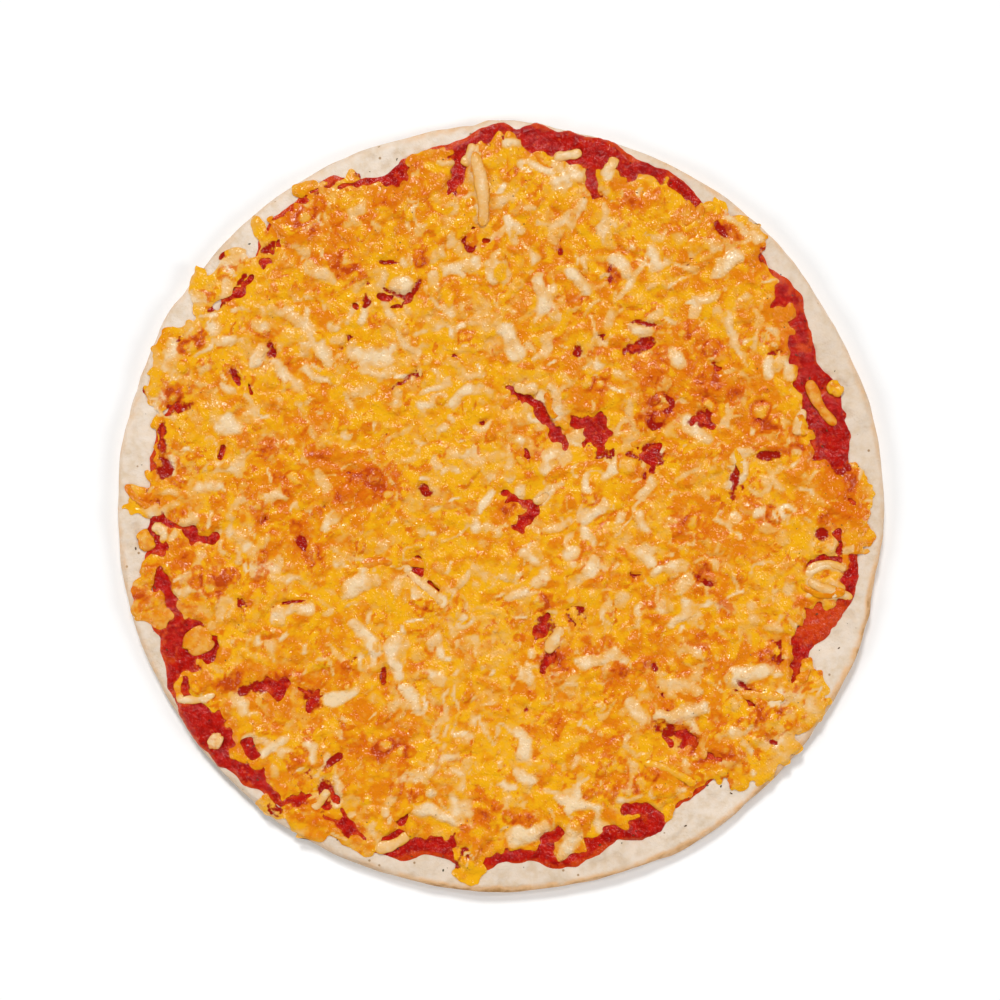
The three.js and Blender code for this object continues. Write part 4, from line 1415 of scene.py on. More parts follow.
@dataclass
class MeltField:
    """The melt in plan: how its shreds pile up, melt together and brown.

    Attributes:
        grid: the plan grid.
        inside: field above 0 where there is cheese.
        sauced: field above 0 where there is sauce below.
        seed: start of the draws.
        shred_count: shreds that melted together, besides the ones placed by the photograph.
        pale_share: share of them that are pale.
        strand_count: thin pale strands and crumbs that melted into the rest.
        spot_count: round places where the melt is a deeper orange.
        blister_count: small blisters.
        warp_x: how crooked its shreds are, from side to side.
        warp_y: the same, up and down.
        tones: unevenness of its colour from yellow to orange.
        milk: unevenness of how pale it is.
    """

    grid: PlanGrid
    inside: Array
    sauced: Array
    seed: int = 7
    shred_count: int = 1900
    pale_share: float = 0.22
    strand_count: int = 620
    spot_count: int = 620
    blister_count: int = 420
    warp_x: Sequence[Lumps] = (Lumps(size=5.0, height=0.55, seed=33), Lumps(size=2.2, height=0.22, seed=34))
    warp_y: Sequence[Lumps] = (Lumps(size=5.0, height=0.55, seed=35), Lumps(size=2.2, height=0.22, seed=36))
    tones: Sequence[Lumps] = (Lumps(size=12.0, height=0.16, seed=31), Lumps(size=4.0, height=0.12, seed=32))
    milk: Sequence[Lumps] = (Lumps(size=7.0, height=0.14, seed=37), Lumps(size=2.6, height=0.08, seed=38))

    def __post_init__(self) -> None:
        """Fills the fields in the order in which the real thing was made."""
        self.draw = np.random.default_rng(self.seed)
        self.x, self.y = self.grid.places()
        self.crooked_x = self.x + self.grid.lumps(*self.warp_x)
        self.crooked_y = self.y + self.grid.lumps(*self.warp_y)
        self.mottle = 1 + 0.14 * self.grid.noise(2.4, 59)
        self.relief = self.grid.zeros()
        self.crease = self.grid.zeros()
        self.tone = 0.42 + self.grid.lumps(*self.tones)
        self.pale = np.clip(0.12 + self.grid.lumps(*self.milk), 0, 0.42)
        self._lay_shreds()
        self._lay_strands()
        self._lay_placed_shreds()
        self._tint_stretches()
        self._tint_spots()
        self.brown_and_shade = self._browned()
        self._raise_blisters()
        # painted shade: the creases round the shreds are painted darker through the brown mask, besides being
        # lowered
        creased = self.crease * np.clip(0.55 + 0.55 * self.grid.noise(5.0, 39), 0, 1.4)
        self.relief -= 0.26 * creased
        self.brown_and_shade += 0.55 * creased * (1 - 0.3 * self.pale)
        self.cleft = self._clefts()
        self._draw_rings()
        self._thin_over_rim()

    def scattered(self, count: int) -> Iterable[tuple[float, float]]:
        """Spreads places over the cheese.

        Args:
            count: how many are tried.

        Returns:
            The places that have cheese, one after another.
        """
        golden = math.pi * (3 - math.sqrt(5))
        for index in range(count):
            radius = CHEESE_REACH * math.sqrt((index + 0.5) / count) + self.draw.normal(0, 1.6)
            angle = index * golden + self.draw.normal(0, 0.05)
            place = radius * math.cos(angle), radius * math.sin(angle)
            if self.grid.sampled(self.inside, *np.array(place)) > 0.6:
                yield place

    def around(self, x: float, y: float, reach: float) -> tuple[Window, Array]:
        """Returns the window round a place, and how far it lies from there, crooked as all of the melt is."""
        part = self.grid.window(x, y, reach)
        return part, np.hypot(self.crooked_x[part] - x, self.crooked_y[part] - y)

    def press(self, stroke: Stroke, height: float, soft: float) -> tuple[Window, Array, Array]:
        """Raises the melt where a shred lies in it, and creases it round the shred.

        Args:
            stroke: the shred.
            height: how far it stands up, in millimetres.
            soft: how far its edge has melted, as a share of its half width.

        Returns:
            The window round it, how far that lies from its middle line in half widths, and its share there.
        """
        part = self.grid.window(stroke.x, stroke.y, stroke.length / 2 + stroke.width * (1 + soft))
        away = stroke.distance(self.crooked_x[part], self.crooked_y[part])
        share = 1 - eased(1 - soft, 1 + 0.5 * soft, away)
        ridge = np.sqrt(np.clip(1 - (away / (1 + 0.4 * soft)) ** 2, 0, 1))
        band = bell(away - 1.22, 0.24)
        self.relief[part] = np.maximum(self.relief[part], self.relief[part] * 0.45 + height * ridge)
        self.crease[part] = np.maximum(self.crease[part] * (1 - share), band * min(height / 0.5, 1.0))
        return part, away, share

    def _lay_shreds(self) -> None:
        """Lays the shreds as they fell, yellow, orange and pale ones among each other."""
        places = np.array(list(self.scattered(self.shred_count)))
        for x, y in self.draw.permutation(places):
            size = self.draw.uniform(4, 13), self.draw.uniform(2.4, 4.4)
            stroke = Stroke(x, y, *size, self.draw.uniform(0, 180), self.draw.normal(0, 50))
            part, away, share = self.press(stroke, self.draw.uniform(0.2, 0.7), 0.3)
            if self.draw.uniform() < self.pale_share:
                self._whiten(part, away, self.draw.uniform(0.45, 0.95))
                continue
            tone = self.draw.choice([0.0, 0.3, 0.6, 1.0], p=[0.3, 0.28, 0.24, 0.18])
            share = share * self.draw.uniform(0.45, 0.95)
            self.tone[part] = self.tone[part] * (1 - share) + tone * share
            self.pale[part] = self.pale[part] * (1 - share) + self.draw.choice([0.0, 0.1, 0.3]) * share

    def _lay_placed_shreds(self) -> None:
        """Lays the pale shreds that the photograph shows clearly."""
        for row in PALE_SHREDS_PX:
            part, away, _ = self.press(Stroke.at_pixel(*row), 0.55, 0.25)
            self._whiten(part, away, 1.0)

    def _lay_strands(self) -> None:
        """Lays thin pale strands, curved and broken, and small pale crumbs."""
        for x, y in self.draw.permutation(np.array(list(self.scattered(self.strand_count)))):
            width = self.draw.uniform(0.8, 1.9)
            length = width + self.draw.gamma(1.6, 2.4)
            stroke = Stroke(x, y, length, width, self.draw.uniform(0, 180), self.draw.normal(0, 90))
            part, away, _ = self.press(stroke, self.draw.uniform(0.1, 0.35), 0.35)
            self._whiten(part, away, self.draw.uniform(0.4, 1.0))

    def _whiten(self, part: Window, away: Array, strength: float) -> None:
        """Makes the melt pale along a shred, most of all along its middle."""
        shred = (1 - eased(0.75, 1.35, away)) * self.mottle[part]
        self.pale[part] = np.maximum(self.pale[part], strength * shred * (1.1 - 0.25 * np.clip(away, 0, 1)))

    def _tint_spots(self) -> None:
        """Makes round places of all sizes a deeper orange."""
        for x, y in self.scattered(self.spot_count):
            size = self.draw.uniform(1.1, 3.4)
            part, away = self.around(x, y, 2.2 * size)
            disc = 1 - eased(0.55, 1.25, away / size)
            self.tone[part] += self.draw.uniform(0.15, 0.65) * disc * (1 - self.pale[part])

    def _draw_rings(self) -> None:
        """Draws a dark line round burst bubbles and curled shreds, with a paler, raised middle."""
        breaks = np.clip(0.8 + 0.35 * self.grid.noise(4.0, 57), 0.25, 1.2)
        for column, row, radius, band, dark in RINGS_PX:
            part, away = self.around(*on_plan(column, row), radius + 2 * band)
            line = bell(away - radius, 0.5 * band)
            middle = 1 - eased(0.35 * radius, 0.95 * radius, away)
            self.brown_and_shade[part] += dark * (1.15 * line * breaks[part] - 0.5 * middle)
            self.cleft[part] *= 1 - 0.9 * middle
            self.cleft[part] += max(dark - 0.75, 0.0) * 2.2 * line * breaks[part]
            self.pale[part] = np.maximum(self.pale[part] * (1 - line), 0.42 * middle)
            self.tone[part] *= 1 - 0.6 * middle
            self.relief[part] += 0.32 * middle - 0.3 * dark * line

    def _thin_over_rim(self) -> None:
        """Makes the melt paler and less browned where it ran thin over the bare rim."""
        self.thin = (1 - eased(-3.0, 1.0, self.sauced)) * (1 - eased(1.0, 9.0, self.inside))
        self.pale += self.thin * (0.16 + 0.1 * self.grid.noise(4.0, 58))
        self.tone -= 0.12 * self.thin
        self.brown_and_shade -= 0.12 * self.thin

    def spot(self, row: Sequence[float]) -> tuple[Window, Array]:
        """Finds a patch that is given by pixel, length, width and turn.

        Args:
            row: column, row, length, width and turn.

        Returns:
            The window round it, and how far that lies from its middle, 1 at the patch's edge.
        """
        column, line, length, width, turn = row
        x, y = on_plan(column, line)
        part = self.grid.window(x, y, 1.2 * max(length, width))
        c, s = math.cos(math.radians(turn)), math.sin(math.radians(turn))
        along = (self.x[part] - x) * c + (self.y[part] - y) * s
        across = (self.y[part] - y) * c - (self.x[part] - x) * s
        return part, np.hypot(along * 2 / length, across * 2 / width)

    def _tint_stretches(self) -> None:
        """Makes broad stretches yellower or more orange, and paler or less so."""
        for *row, change in STRETCHES_PX:
            part, away = self.spot(row)
            fade = bell(away, 0.9)
            self.tone[part] += change * fade
            self.pale[part] *= 1 - 0.5 * max(change, 0.0) * fade
            self.pale[part] += 0.3 * max(-change, 0.0) * fade
        for *row, change in PALER_PX:
            part, away = self.spot(row)
            self.pale[part] += change * bell(away, 0.9)

    def _browned(self) -> Array:
        """Browns the melt in patches, and a little here and there.

        Returns:
            How browned it is.
        """
        patches = self.grid.zeros()
        for *row, dark in BROWNED_PX:
            part, away = self.spot(row)
            patches[part] = np.maximum(patches[part], dark * bell(away, 1.05))
        broken = 0.26 * self.grid.noise(3.4, 41) + 0.12 * self.grid.noise(2.0, 42)
        everywhere = 0.3 * eased(0.5, 2.2, self.grid.noise(4.6, 43) + 0.3 * self.grid.noise(2.4, 44))
        return patches * 0.85 + broken * (0.35 + patches) + everywhere - 0.35 * self.pale * (1 - patches)

    def _raise_blisters(self) -> None:
        """Raises small domes, browned towards their rims with a lighter middle."""
        places = list(self.scattered(self.blister_count))
        for column, row, length, width, turn, _ in BROWNED_PX:
            for _ in range(int(length * width / 26)):
                offset = self.draw.normal(0, 0.3, 2) * (length, width)
                places.append(turned(offset, turn) + on_plan(column, row))
        for x, y in places:
            size = self.draw.uniform(1.2, 2.5)
            part, away = self.around(x, y, 2.2 * size)
            disc = 1 - eased(0.75, 1.15, away / size)
            rim = bell(away / size - 0.8, 0.24)
            light = bell(away / size, 0.42)
            strength = self.draw.uniform(0.3, 1.0)
            self.relief[part] += 0.3 * strength * (disc - 0.3 * light)
            self.brown_and_shade[part] += strength * (0.4 * disc + 0.4 * rim - 0.3 * light)
            self.pale[part] *= 1 - 0.8 * disc * strength

    def _clefts(self) -> Array:
        """Parts the melt where dark red shows, and paints the shadow under a curled shred dark red among the
        clefts.

        Returns:
            How far it is parted, from 0 to about 1.
        """
        parted = self.grid.zeros()
        for row in CLEFTS_AND_SHADOW_PX:
            part, away = self.spot(row)
            parted[part] = np.maximum(parted[part], np.clip(1.35 - 0.8 * away, 0, 1))
        seams = 1 - eased(0.0, 0.35, self.relief)
        chance = eased(1.3, 2.4, self.grid.noise(6.0, 51))
        parted = np.maximum(parted, 0.8 * seams * chance)
        thin_edge = 0.5 * (1 - eased(-0.2, 1.4, self.inside)) * eased(-0.5, 1.0, self.grid.noise(4.0, 53))
        parted = np.maximum(parted, thin_edge * eased(0.0, 2.0, self.sauced))
        return parted + 0.2 * self.grid.noise(1.8, 52) * eased(0.05, 0.4, parted)


@dataclass
class CheeseMelt:
    """The sheet of melted cheese.

    Attributes:
        node: the CAD node it stands for.
        edge: its thickness at the very edge, in millimetres.
        taper: width over which it rises from that.
        softening: how far the CAD outline is rounded.
        fray: how far the sheet draws back between the shreds at its edge.
        edge_shreds: shreds drawn along its edges.
        overhang: how far such a shred's end may lie outside the CAD outline.
        thinnest: least thickness away from its edge.
        sinking: how far its creases lie below the CAD top.
        seed: start of the draws along its edges.
        warp_x: how crooked its outline is, from side to side.
        warp_y: the same, up and down.
        crumbs: unevenness of its top between the shreds.
        finish: its looks.
    """

    node: str = "cheese"
    edge: float = 0.18
    taper: float = 2.0
    softening: float = 1.1
    fray: float = 0.75
    edge_shreds: int = 850
    overhang: float = 1.0
    thinnest: float = 0.6
    sinking: float = 0.35
    seed: int = 63
    warp_x: Sequence[Lumps] = (Lumps(size=3.4, height=0.5, seed=65), Lumps(size=1.8, height=0.22, seed=66))
    warp_y: Sequence[Lumps] = (Lumps(size=3.4, height=0.5, seed=67), Lumps(size=1.8, height=0.22, seed=68))
    crumbs: Sequence[Lumps] = (Lumps(size=2.6, height=0.12, seed=71), Lumps(size=1.5, height=0.06, seed=72))
    finish: MeltedCheese = MeltedCheese(
        "oily_melt", roughness=0.23, gloss=0.12, bump=0.12, shine=0.22, depth=0.05, scatter=(2.0, 1.0, 0.4)
    )

    def inside(self, grid: PlanGrid) -> Array:
        """Works out where there is cheese: the CAD cheese, frayed into shreds at its edges.

        Args:
            grid: plan grid.

        Returns:
            A field above 0 where there is some, near its edge the distance in millimetres.
        """
        x, y = grid.places()
        covered = (CadSurface(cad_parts[self.node]).tops(x, y) > 0).astype(float)
        slope = self.softening * math.sqrt(2 * math.pi)  # makes millimetres of a blurred edge
        plain = slope * (grid.blurred(covered, self.softening) - 0.5)
        depth = 2 * slope * (grid.blurred(covered, 2 * self.softening) - 0.5)
        ragged = 0.6 * grid.noise(4.6, 61) + 0.24 * grid.noise(2.0, 62)
        frayed = plain + (ragged - self.fray) * (1 - eased(0.9, 2.1, depth))
        draw = np.random.default_rng(self.seed)
        border = np.argwhere(np.abs(plain - 0.6) < 0.7)
        for row, column in border[draw.choice(len(border), self.edge_shreds)]:
            size = draw.uniform(4.0, 10.0), draw.uniform(1.8, 3.6)
            stroke = Stroke(x[row, column], y[row, column], *size, draw.uniform(0, 180), draw.normal(0, 40))
            if (grid.read(plain, stroke.axis(3)) > -self.overhang).all():
                part, ridge = stroke.ridge(grid, x, y)
                frayed[part] = np.maximum(frayed[part], ridge)
        jagged = 0.3 * grid.noise(1.9, 64)
        for rows, opens in ((TONGUES_PX, False), (BRANCHES_PX, True)):
            for row in rows:
                part, ridge = Stroke.at_pixel(*row).ridge(grid, x, y)
                ridge += jagged[part]
                frayed[part] = np.minimum(frayed[part], -ridge) if opens else np.maximum(frayed[part], ridge)
        return grid.sampled(frayed, x + grid.lumps(*self.warp_x), y + grid.lumps(*self.warp_y))

    def make(self, grid: PlanGrid, carriers: Sequence[Piece], sauced: Array) -> tuple[Piece, MeltField]:
        """Makes the melt on the sauce and the base.

        Args:
            grid: plan grid.
            carriers: the finished base and sauce.
            sauced: field above 0 where there is sauce.

        Returns:
            The new object and its fields.
        """
        x, y = grid.places()
        inside = self.inside(grid)
        melt = MeltField(grid, inside, sauced)
        bed = CadSurface(*carriers).tops(x, y, missing=5.0)
        cad = CadSurface(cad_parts[self.node]).tops(x, y)
        form = np.where(cad > 0, cad, grid.blurred(np.where(cad > 0, cad, 9.0), 2.0))
        form = grid.blurred(form, 1.0) - self.sinking
        depth = grid.blurred((inside > 0).astype(float), self.taper / 2)
        rise = eased(0.4, 0.97, depth) ** 0.6
        relief = melt.relief - self.sinking + grid.lumps(*self.crumbs)
        thick = np.maximum(form - bed + relief, self.thinnest)
        thick *= (1 - 0.75 * np.clip(melt.cleft, 0, 1)) * (1 - 0.45 * melt.thin)
        top = bed + self.edge + rise * (thick - self.edge)
        piece = Sheet("melted_cheese", grid, inside, floor=6.0).make(top)
        places = corners(piece) / MM
        masks = {Mask.TONE: melt.tone, Mask.PALE: melt.pale, Mask.BROWN: melt.brown_and_shade, Mask.CLEFT: melt.cleft}
        for mask, values in masks.items():
            paint(piece, mask, grid.read(values, places))
        return piece, melt


@dataclass
class ShredMould:
    """The one soft shred from which all loose and half-sunk shreds are taken.

    Attributes:
        segments: pieces that it is cut into along its length.
        rounds: how often it is subdivided.
    """

    segments: int = 6
    rounds: int = 2

    def make(self) -> Mould:
        """Models the mould, reads it and removes it.

        Returns:
            Its vertices, one unit long along X and half a unit in half width and height, and its faces.
        """
        deselect_everything()
        bpy.ops.mesh.primitive_cube_add(size=1.0)
        shred = bpy.context.object
        bpy.ops.object.mode_set(mode="EDIT")
        for cut in range(1, self.segments):
            bpy.ops.mesh.select_all(action="SELECT")
            share = cut / self.segments - 0.5
            bpy.ops.mesh.bisect(plane_co=(share, 0, 0), plane_no=(1, 0, 0))
        close_mesh()
        rounding = shred.modifiers.new("rounding", "SUBSURF")
        rounding.levels = rounding.render_levels = self.rounds
        bpy.ops.object.modifier_apply(modifier=rounding.name)
        places, faces = taken_apart(shred)
        return places / (np.abs(places).max(axis=0) * 2), faces


@dataclass
class ShredHeap:
    """Many shreds of one kind, joined in one mesh.

    Attributes:
        name: name of its object.
        mould: the mould's vertices and faces.
        thickness: height of a shred, as a share of its width.
        crown: how far its sides thin out, from 0 to 1.
        seed: start of the draws.
        tones: least and most of the tone from yellow to orange.
        milk: least and most of how pale they are.
        browns: least and most of how browned they are.
    """

    name: str
    mould: Mould
    thickness: float = 0.36
    crown: float = 0.86
    seed: int = 5
    tones: tuple[float, float] = (0.0, 1.0)
    milk: tuple[float, float] = (0.05, 0.4)
    browns: tuple[float, float] = (-0.1, 0.35)

    def make(self, strokes: Sequence[Stroke], bed: Heights, sunk: float) -> Piece:
        """Lays the shreds.

        Args:
            strokes: the shreds in plan.
            bed: gives the height of what they lie on, in millimetres.
            sunk: how deep they have sunk into it, as a share of their thickness.

        Returns:
            The new object.
        """
        draw = np.random.default_rng(self.seed)
        template, faces = self.mould
        length, width = np.abs(2 * template[:, 0]), np.abs(2 * template[:, 1])
        sides = (1 - width**3) * (1 - length**8)
        bare = np.clip((template[:, 2] + 0.5 - sunk) / (1 - sunk), 0, 1)
        fading = 0.4 + 0.6 * np.minimum(bare**0.6, sides)
        copies = []
        worn: dict[Mask, list[Array]] = {Mask.TONE: [], Mask.PALE: [], Mask.BROWN: []}
        for stroke in strokes:
            places = self._one(stroke, template, draw)
            tall = stroke.width * self.thickness
            places[:, 2] = places[:, 2] * tall + self._ground(stroke, places, bed) + tall * (0.5 - sunk)
            copies.append(places)
            streak = 1 + 0.12 * np.sin(draw.uniform(4, 9) * template[:, 0] + draw.uniform(0, 6))
            worn[Mask.TONE].append(np.full(len(template), draw.uniform(*self.tones)))
            worn[Mask.PALE].append(draw.uniform(*self.milk) * streak * fading)
            worn[Mask.BROWN].append(np.full(len(template), draw.uniform(*self.browns)))
        piece = joined(self.name, copies, faces)
        for mask, values in worn.items():
            paint(piece, mask, np.concatenate(values))
        smooth_shaded(piece)
        return piece

    def _one(self, stroke: Stroke, template: Array, draw: np.random.Generator) -> Array:
        """Shapes one shred.

        Args:
            stroke: the shred in plan.
            template: the mould's vertices.
            draw: gives its own unevenness.

        Returns:
            Its vertices in plan, with heights from -0.5 to 0.5.
        """
        phase = draw.uniform(0, 2 * math.pi, 5)
        along, aside, up = template.T
        about = np.arctan2(up, aside)
        slender = min(stroke.length / stroke.width - 1, 1.0)
        lumpy = 1 + slender * 0.1 * np.sin(6 * along + phase[0])
        lumpy += 0.07 * np.sin(13 * along + 2 * about + phase[1])
        lumpy += 0.05 * np.sin(9 * along + 4 * about + phase[4]) + 0.05 * np.sin(23 * along + 3 * about)
        lumpy *= 1 - slender * 0.25 * draw.uniform(0, 1) * (along + 0.5)
        lumpy *= np.sqrt(1 - 0.62 * np.abs(2 * along) ** (2 + 3 * slender))
        wander = slender * 0.1 * np.sin(5 * along + phase[2])
        across = (aside * lumpy + wander) * stroke.width
        middle, heading = stroke.bent(stroke.length * along)
        sideways = np.stack([-across * np.sin(heading), across * np.cos(heading)], axis=1)
        height = up * (0.85 + 0.15 * np.sin(6 * along + phase[3]))
        height *= np.sqrt(1 - 0.7 * np.abs(2 * along) ** 5) * (1 - self.crown * (2 * aside) ** 2)
        return np.column_stack([stroke.placed(middle + sideways), height])

    def _ground(self, stroke: Stroke, places: Array, bed: Heights) -> Array:
        """Finds the ground under a shred, eased so that it bridges small dips.

        Args:
            stroke: the shred in plan.
            places: its vertices.
            bed: gives the height of what it lies on.

        Returns:
            The height under each vertex.
        """
        axis = stroke.axis(7)
        levels = bed(axis[:, 0], axis[:, 1])
        levels = np.convolve(np.pad(levels, 1, mode="edge"), [0.25, 0.5, 0.25], mode="valid")
        gaps = np.hypot(places[:, None, 0] - axis[None, :, 0], places[:, None, 1] - axis[None, :, 1])
        weights = 1 / (gaps + 0.3) ** 2
        return (weights * levels).sum(axis=1) / weights.sum(axis=1)


@dataclass
class LooseScrap:
    """One scrap of cheese beside the melt, in the place of its CAD node.

    Attributes:
        node: the CAD node.
        pale: whether it is of the pale kind.
        flattest: greatest thickness, as a share of its width.
    """

    node: str
    pale: bool = False
    flattest: float = 0.42

    def stroke(self) -> Stroke:
        """Reads how the CAD node lies.

        Returns:
            The scrap in plan.
        """
        places = cad_corners(self.node)[:, :2]
        middle = (places.max(axis=0) + places.min(axis=0)) / 2
        axes = np.linalg.svd(places - places.mean(axis=0), full_matrices=False)[2]
        along, across = (places - middle) @ axes[0], (places - middle) @ axes[1]
        turn = math.degrees(math.atan2(axes[0][1], axes[0][0]))
        return Stroke(*middle, np.ptp(along) * 1.06, np.ptp(across) * 1.04, turn, bend=12.0)

    def make(self, mould: Mould, bed: Heights) -> Piece:
        """Makes the scrap, as thick as its CAD node.

        Args:
            mould: the mould's vertices and faces.
            bed: gives the height of what it lies on.

        Returns:
            The new object.
        """
        milk = (0.85, 1.05) if self.pale else (0.3, 0.5)
        stroke = self.stroke()
        low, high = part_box(self.node)
        thickness = min(float(high.z - low.z) / MM / stroke.width, self.flattest)
        seed = sum(map(ord, self.node))
        heap = ShredHeap(f"soft_{self.node}", mould, thickness, crown=0.5, seed=seed, milk=milk)
        return heap.make([stroke], bed, sunk=0.2)


@dataclass
class HerbFlecks:
    """Small flakes of herb on the sauce and the rim.

    Attributes:
        count: how many there are.
        smallest: shortest flake, in millimetres.
        largest: longest flake.
        clear: width of the edge that has none.
        seed: start of the draws.
        finish: their looks.
    """

    count: int = 300
    smallest: float = 0.35
    largest: float = 1.3
    clear: float = 3.0
    seed: int = 77
    finish: DryHerb = DryHerb("dry_herb", roughness=0.8, gloss=0.1, bump=0.05)

    def make(self, bed: Heights, cheese: Heights, radius: float) -> Piece:
        """Scatters the flakes.

        Args:
            bed: height of what they lie on, in millimetres.
            cheese: above 0 where there is melt, on which they are smaller.
            radius: the base's radius, in millimetres.

        Returns:
            The new object.
        """
        draw = np.random.default_rng(self.seed)
        deselect_everything()
        bpy.ops.mesh.primitive_ico_sphere_add(subdivisions=1, radius=0.5)
        template, faces = taken_apart(bpy.context.object)
        copies = []
        for _ in range(self.count):
            angle = draw.uniform(0, 2 * math.pi)
            reach = (radius - self.clear) * math.sqrt(draw.uniform(0.55, 0.97))
            place = np.array([math.cos(angle), math.sin(angle)]) * reach
            melted = cheese(*place) > 0
            size = draw.uniform(self.smallest, self.largest) * (0.5 if melted else 1.0)
            shape = template * (size, size * draw.uniform(0.3, 0.7), 0.22 * size)
            shape += draw.normal(0, 0.05 * size, shape.shape)
            plan = turned(shape[:, :2], draw.uniform(0, 180)) + place
            level = bed(*place) + 0.05
            copies.append(np.column_stack([plan, shape[:, 2] + level]))
        return joined("herb_flecks", copies, faces)


# ---- studio


@dataclass
class Studio:
    """The floor, the camera and the lights.

    Attributes:
        lens: focal length of the camera, in millimetres.
        sensor: width of its sensor, in millimetres.
        top: height of the cheese, which the scale is set at.
        room: light that comes from all round.
    """

    lens: float = 90.0
    sensor: float = 36.0
    top: float = 8.5
    room: float = 0.15

    def make(self) -> None:
        """Makes everything that isn't the pizza."""
        self._camera()
        self._floor()
        self._lights()

    def _camera(self) -> None:
        """Puts the camera straight above, where the photograph was taken from."""
        data = bpy.data.cameras.new("camera")
        data.lens, data.sensor_width = self.lens, self.sensor
        camera = new_object("camera", data)
        away = IMAGE_PX * PIXEL * self.lens / self.sensor
        x, y = on_plan(IMAGE_PX / 2, IMAGE_PX / 2)
        camera.location = (x * MM, y * MM, (self.top + away) * MM)
        bpy.context.scene.camera = camera

    def _floor(self) -> None:
        """Lays a plain white floor."""
        deselect_everything()
        bpy.ops.mesh.primitive_plane_add(size=8.0)
        floor = bpy.context.object
        floor.name = "floor"
        material = bpy.data.materials.new("floor")
        material.use_nodes = True
        shader = material.node_tree.nodes["Principled BSDF"]
        shader.inputs["Base Color"].default_value = (0.97, 0.97, 0.97, 1.0)
        shader.inputs["Roughness"].default_value = 0.9
        floor.data.materials.append(material)

    def _lights(self) -> None:
        """Sets a bright room and broad lights that give the oily cheese its small highlights."""
        scene = bpy.context.scene
        scene.view_settings.view_transform = "Standard"
        world = scene.world or bpy.data.worlds.new("world")
        scene.world = world
        world.use_nodes = True
        world.node_tree.nodes["Background"].inputs["Color"].default_value = (1.0, 1.0, 1.0, 1.0)
        world.node_tree.nodes["Background"].inputs["Strength"].default_value = self.room
        self._broad("key", place=(-0.2, 0.95, 1.2), spread=12, strength=1.6)
        self._broad("fill_left", place=(-1.0, -0.45, 0.8), spread=24, strength=0.96)
        self._broad("fill_right", place=(1.0, -0.3, 0.8), spread=24, strength=0.96)
        self._broad("glint", place=(0.25, 0.5, 1.3), spread=6, strength=0.5)

    def _broad(self, name: str, place: tuple[float, float, float], spread: float, strength: float) -> None:
        """Adds a broad, even light.

        Args:
            name: its name.
            place: where it shines from.
            spread: width of its face as seen from the pizza, in degrees.
            strength: its strength.
        """
        data = bpy.data.lights.new(name, "SUN")
        data.angle, data.energy = math.radians(spread), strength
        light = new_object(name, data)
        light.location = place
        light.rotation_mode = "QUATERNION"
        light.rotation_quaternion = (-light.location).to_track_quat("-Z", "Y")


# ---- main

SCRAPS = [
    LooseScrap("shred_right"),
    LooseScrap("crumb_right"),
    LooseScrap("shred_top", pale=True),
    LooseScrap("disc_left"),
    LooseScrap("crumb_lower_left", pale=True),
    LooseScrap("shred_bottom", pale=True),
    LooseScrap("crumb_left"),
]
LONG_SHRED = 20.0  # a placed shred longer than this lies proud of the melt, in millimetres


def crosses_edge(stroke: Stroke, melt: MeltField, within: float = 0.8) -> bool:
    """Returns whether a shred crosses a gap or an edge of the melt, or nears one to so many millimetres."""
    return float(melt.grid.read(melt.inside, stroke.axis(5)).min()) < within


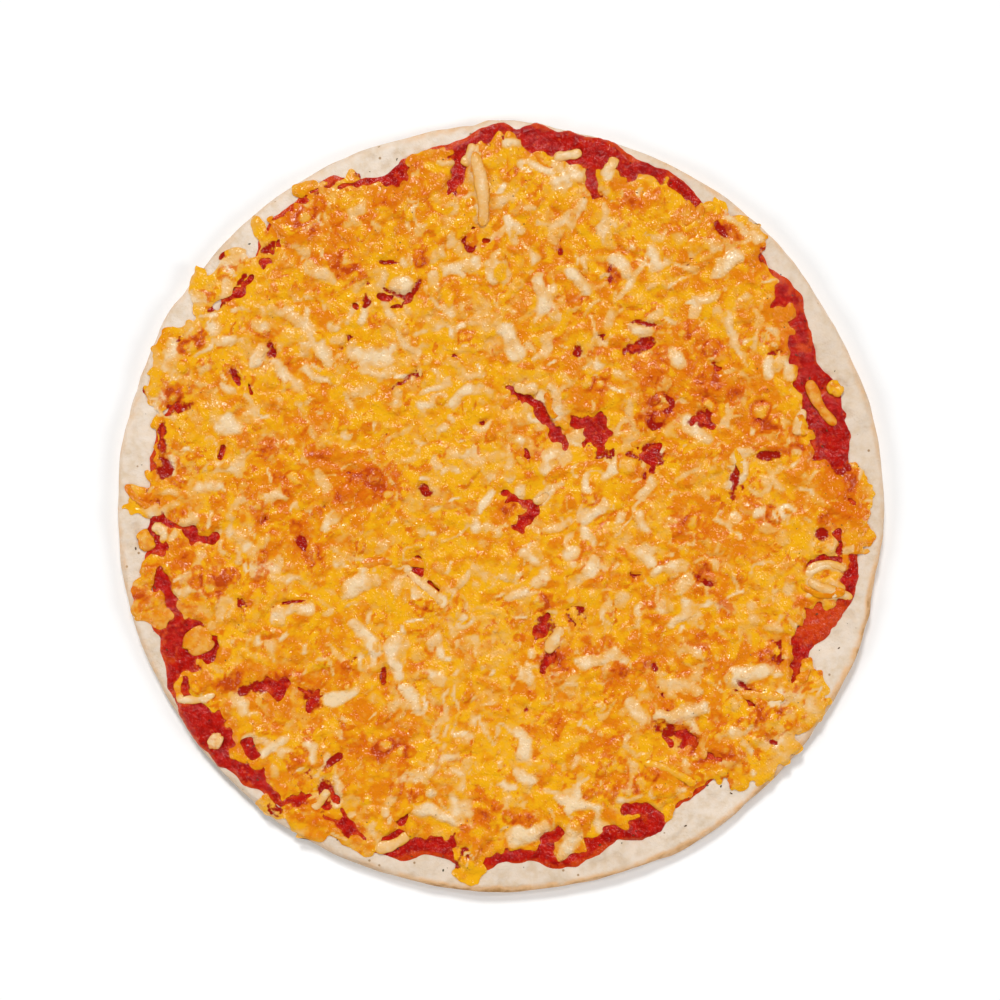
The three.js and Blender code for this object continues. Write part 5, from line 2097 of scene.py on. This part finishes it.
def lying_shreds(melt: MeltField, count: int, seed: int, widths: tuple[float, float]) -> list[Stroke]:
    """Draws shreds whose middle and both ends lie on the melt.

    Args:
        melt: the melt's fields.
        count: how many are tried.
        seed: start of the draw.
        widths: thinnest and thickest, in millimetres.

    Returns:
        The shreds in plan.
    """
    draw = np.random.default_rng(seed)
    strokes = []
    for _ in range(count):
        radius, angle = CHEESE_REACH * math.sqrt(draw.uniform(0, 1)), draw.uniform(0, 2 * math.pi)
        x, y = radius * math.cos(angle), radius * math.sin(angle)
        width = draw.uniform(*widths)
        stroke = Stroke(x, y, width + draw.gamma(3.0, 1.9), width, draw.uniform(0, 180), draw.normal(0, 38))
        if (melt.grid.read(melt.inside, stroke.axis(3)) > 0.5).all():
            strokes.append(stroke)
    return strokes


def main() -> None:
    """Builds the studio and the pizza's pieces, from the base upwards."""
    logging.basicConfig(level=logging.INFO, format="%(name)s: %(message)s")
    Studio().make()

    base_maker = BakedBase()
    base = base_maker.make(PlanGrid(cell=0.6))
    dress(base, base_maker.finish, "baked_base", "base")

    sauce_maker = SpreadSauce()
    sauce = sauce_maker.make(PlanGrid(cell=0.85), base)
    dress(sauce, sauce_maker.finish, "tomato_sauce", "sauce")

    melt_maker = CheeseMelt()
    grid = PlanGrid(cell=0.7)
    cheese, melt = melt_maker.make(grid, (base, sauce), sauce_maker.inside(grid))
    dress(cheese, melt_maker.finish, "melted_cheese", "cheese")
    sauce_maker.oil(sauce, grid, melt.inside)

    everything = CadSurface(base, sauce, cheese)
    mould = ShredMould().make()
    shred_finish = MeltedCheese("oily_shred", roughness=0.24, gloss=0.12, bump=0.1, shine=0.22, depth=0.05)
    placed = [Stroke.at_pixel(*row) for row in PALE_SHREDS_PX]
    proud = [one for one in placed if crosses_edge(one, melt, within=0.2) or one.length > LONG_SHRED]
    pale_heap = ShredHeap("pale_shreds", mould, seed=3, milk=(0.8, 1.1), browns=(-0.3, 0.05))
    dress(pale_heap.make(proud, everything.tops, sunk=0.5), shred_finish, "cheese_scrap")
    amber_heap = ShredHeap("amber_shreds", mould, seed=4)
    lying = lying_shreds(melt, count=700, seed=92, widths=(2.4, 3.8))
    crossing = [one for one in lying if crosses_edge(one, melt)]
    dress(amber_heap.make(crossing, everything.tops, sunk=0.6), shred_finish, "cheese_scrap")

    under = CadSurface(base, sauce)
    for scrap in SCRAPS:
        dress(scrap.make(mould, under.tops), shred_finish, "cheese_scrap", scrap.node)

    flecks = HerbFlecks()
    cover: Heights = lambda x, y: grid.sampled(melt.inside, x, y)
    dress(flecks.make(everything.tops, cover, base_maker.radius), flecks.finish, "tomato_sauce")


if __name__ == "__main__":
    main()
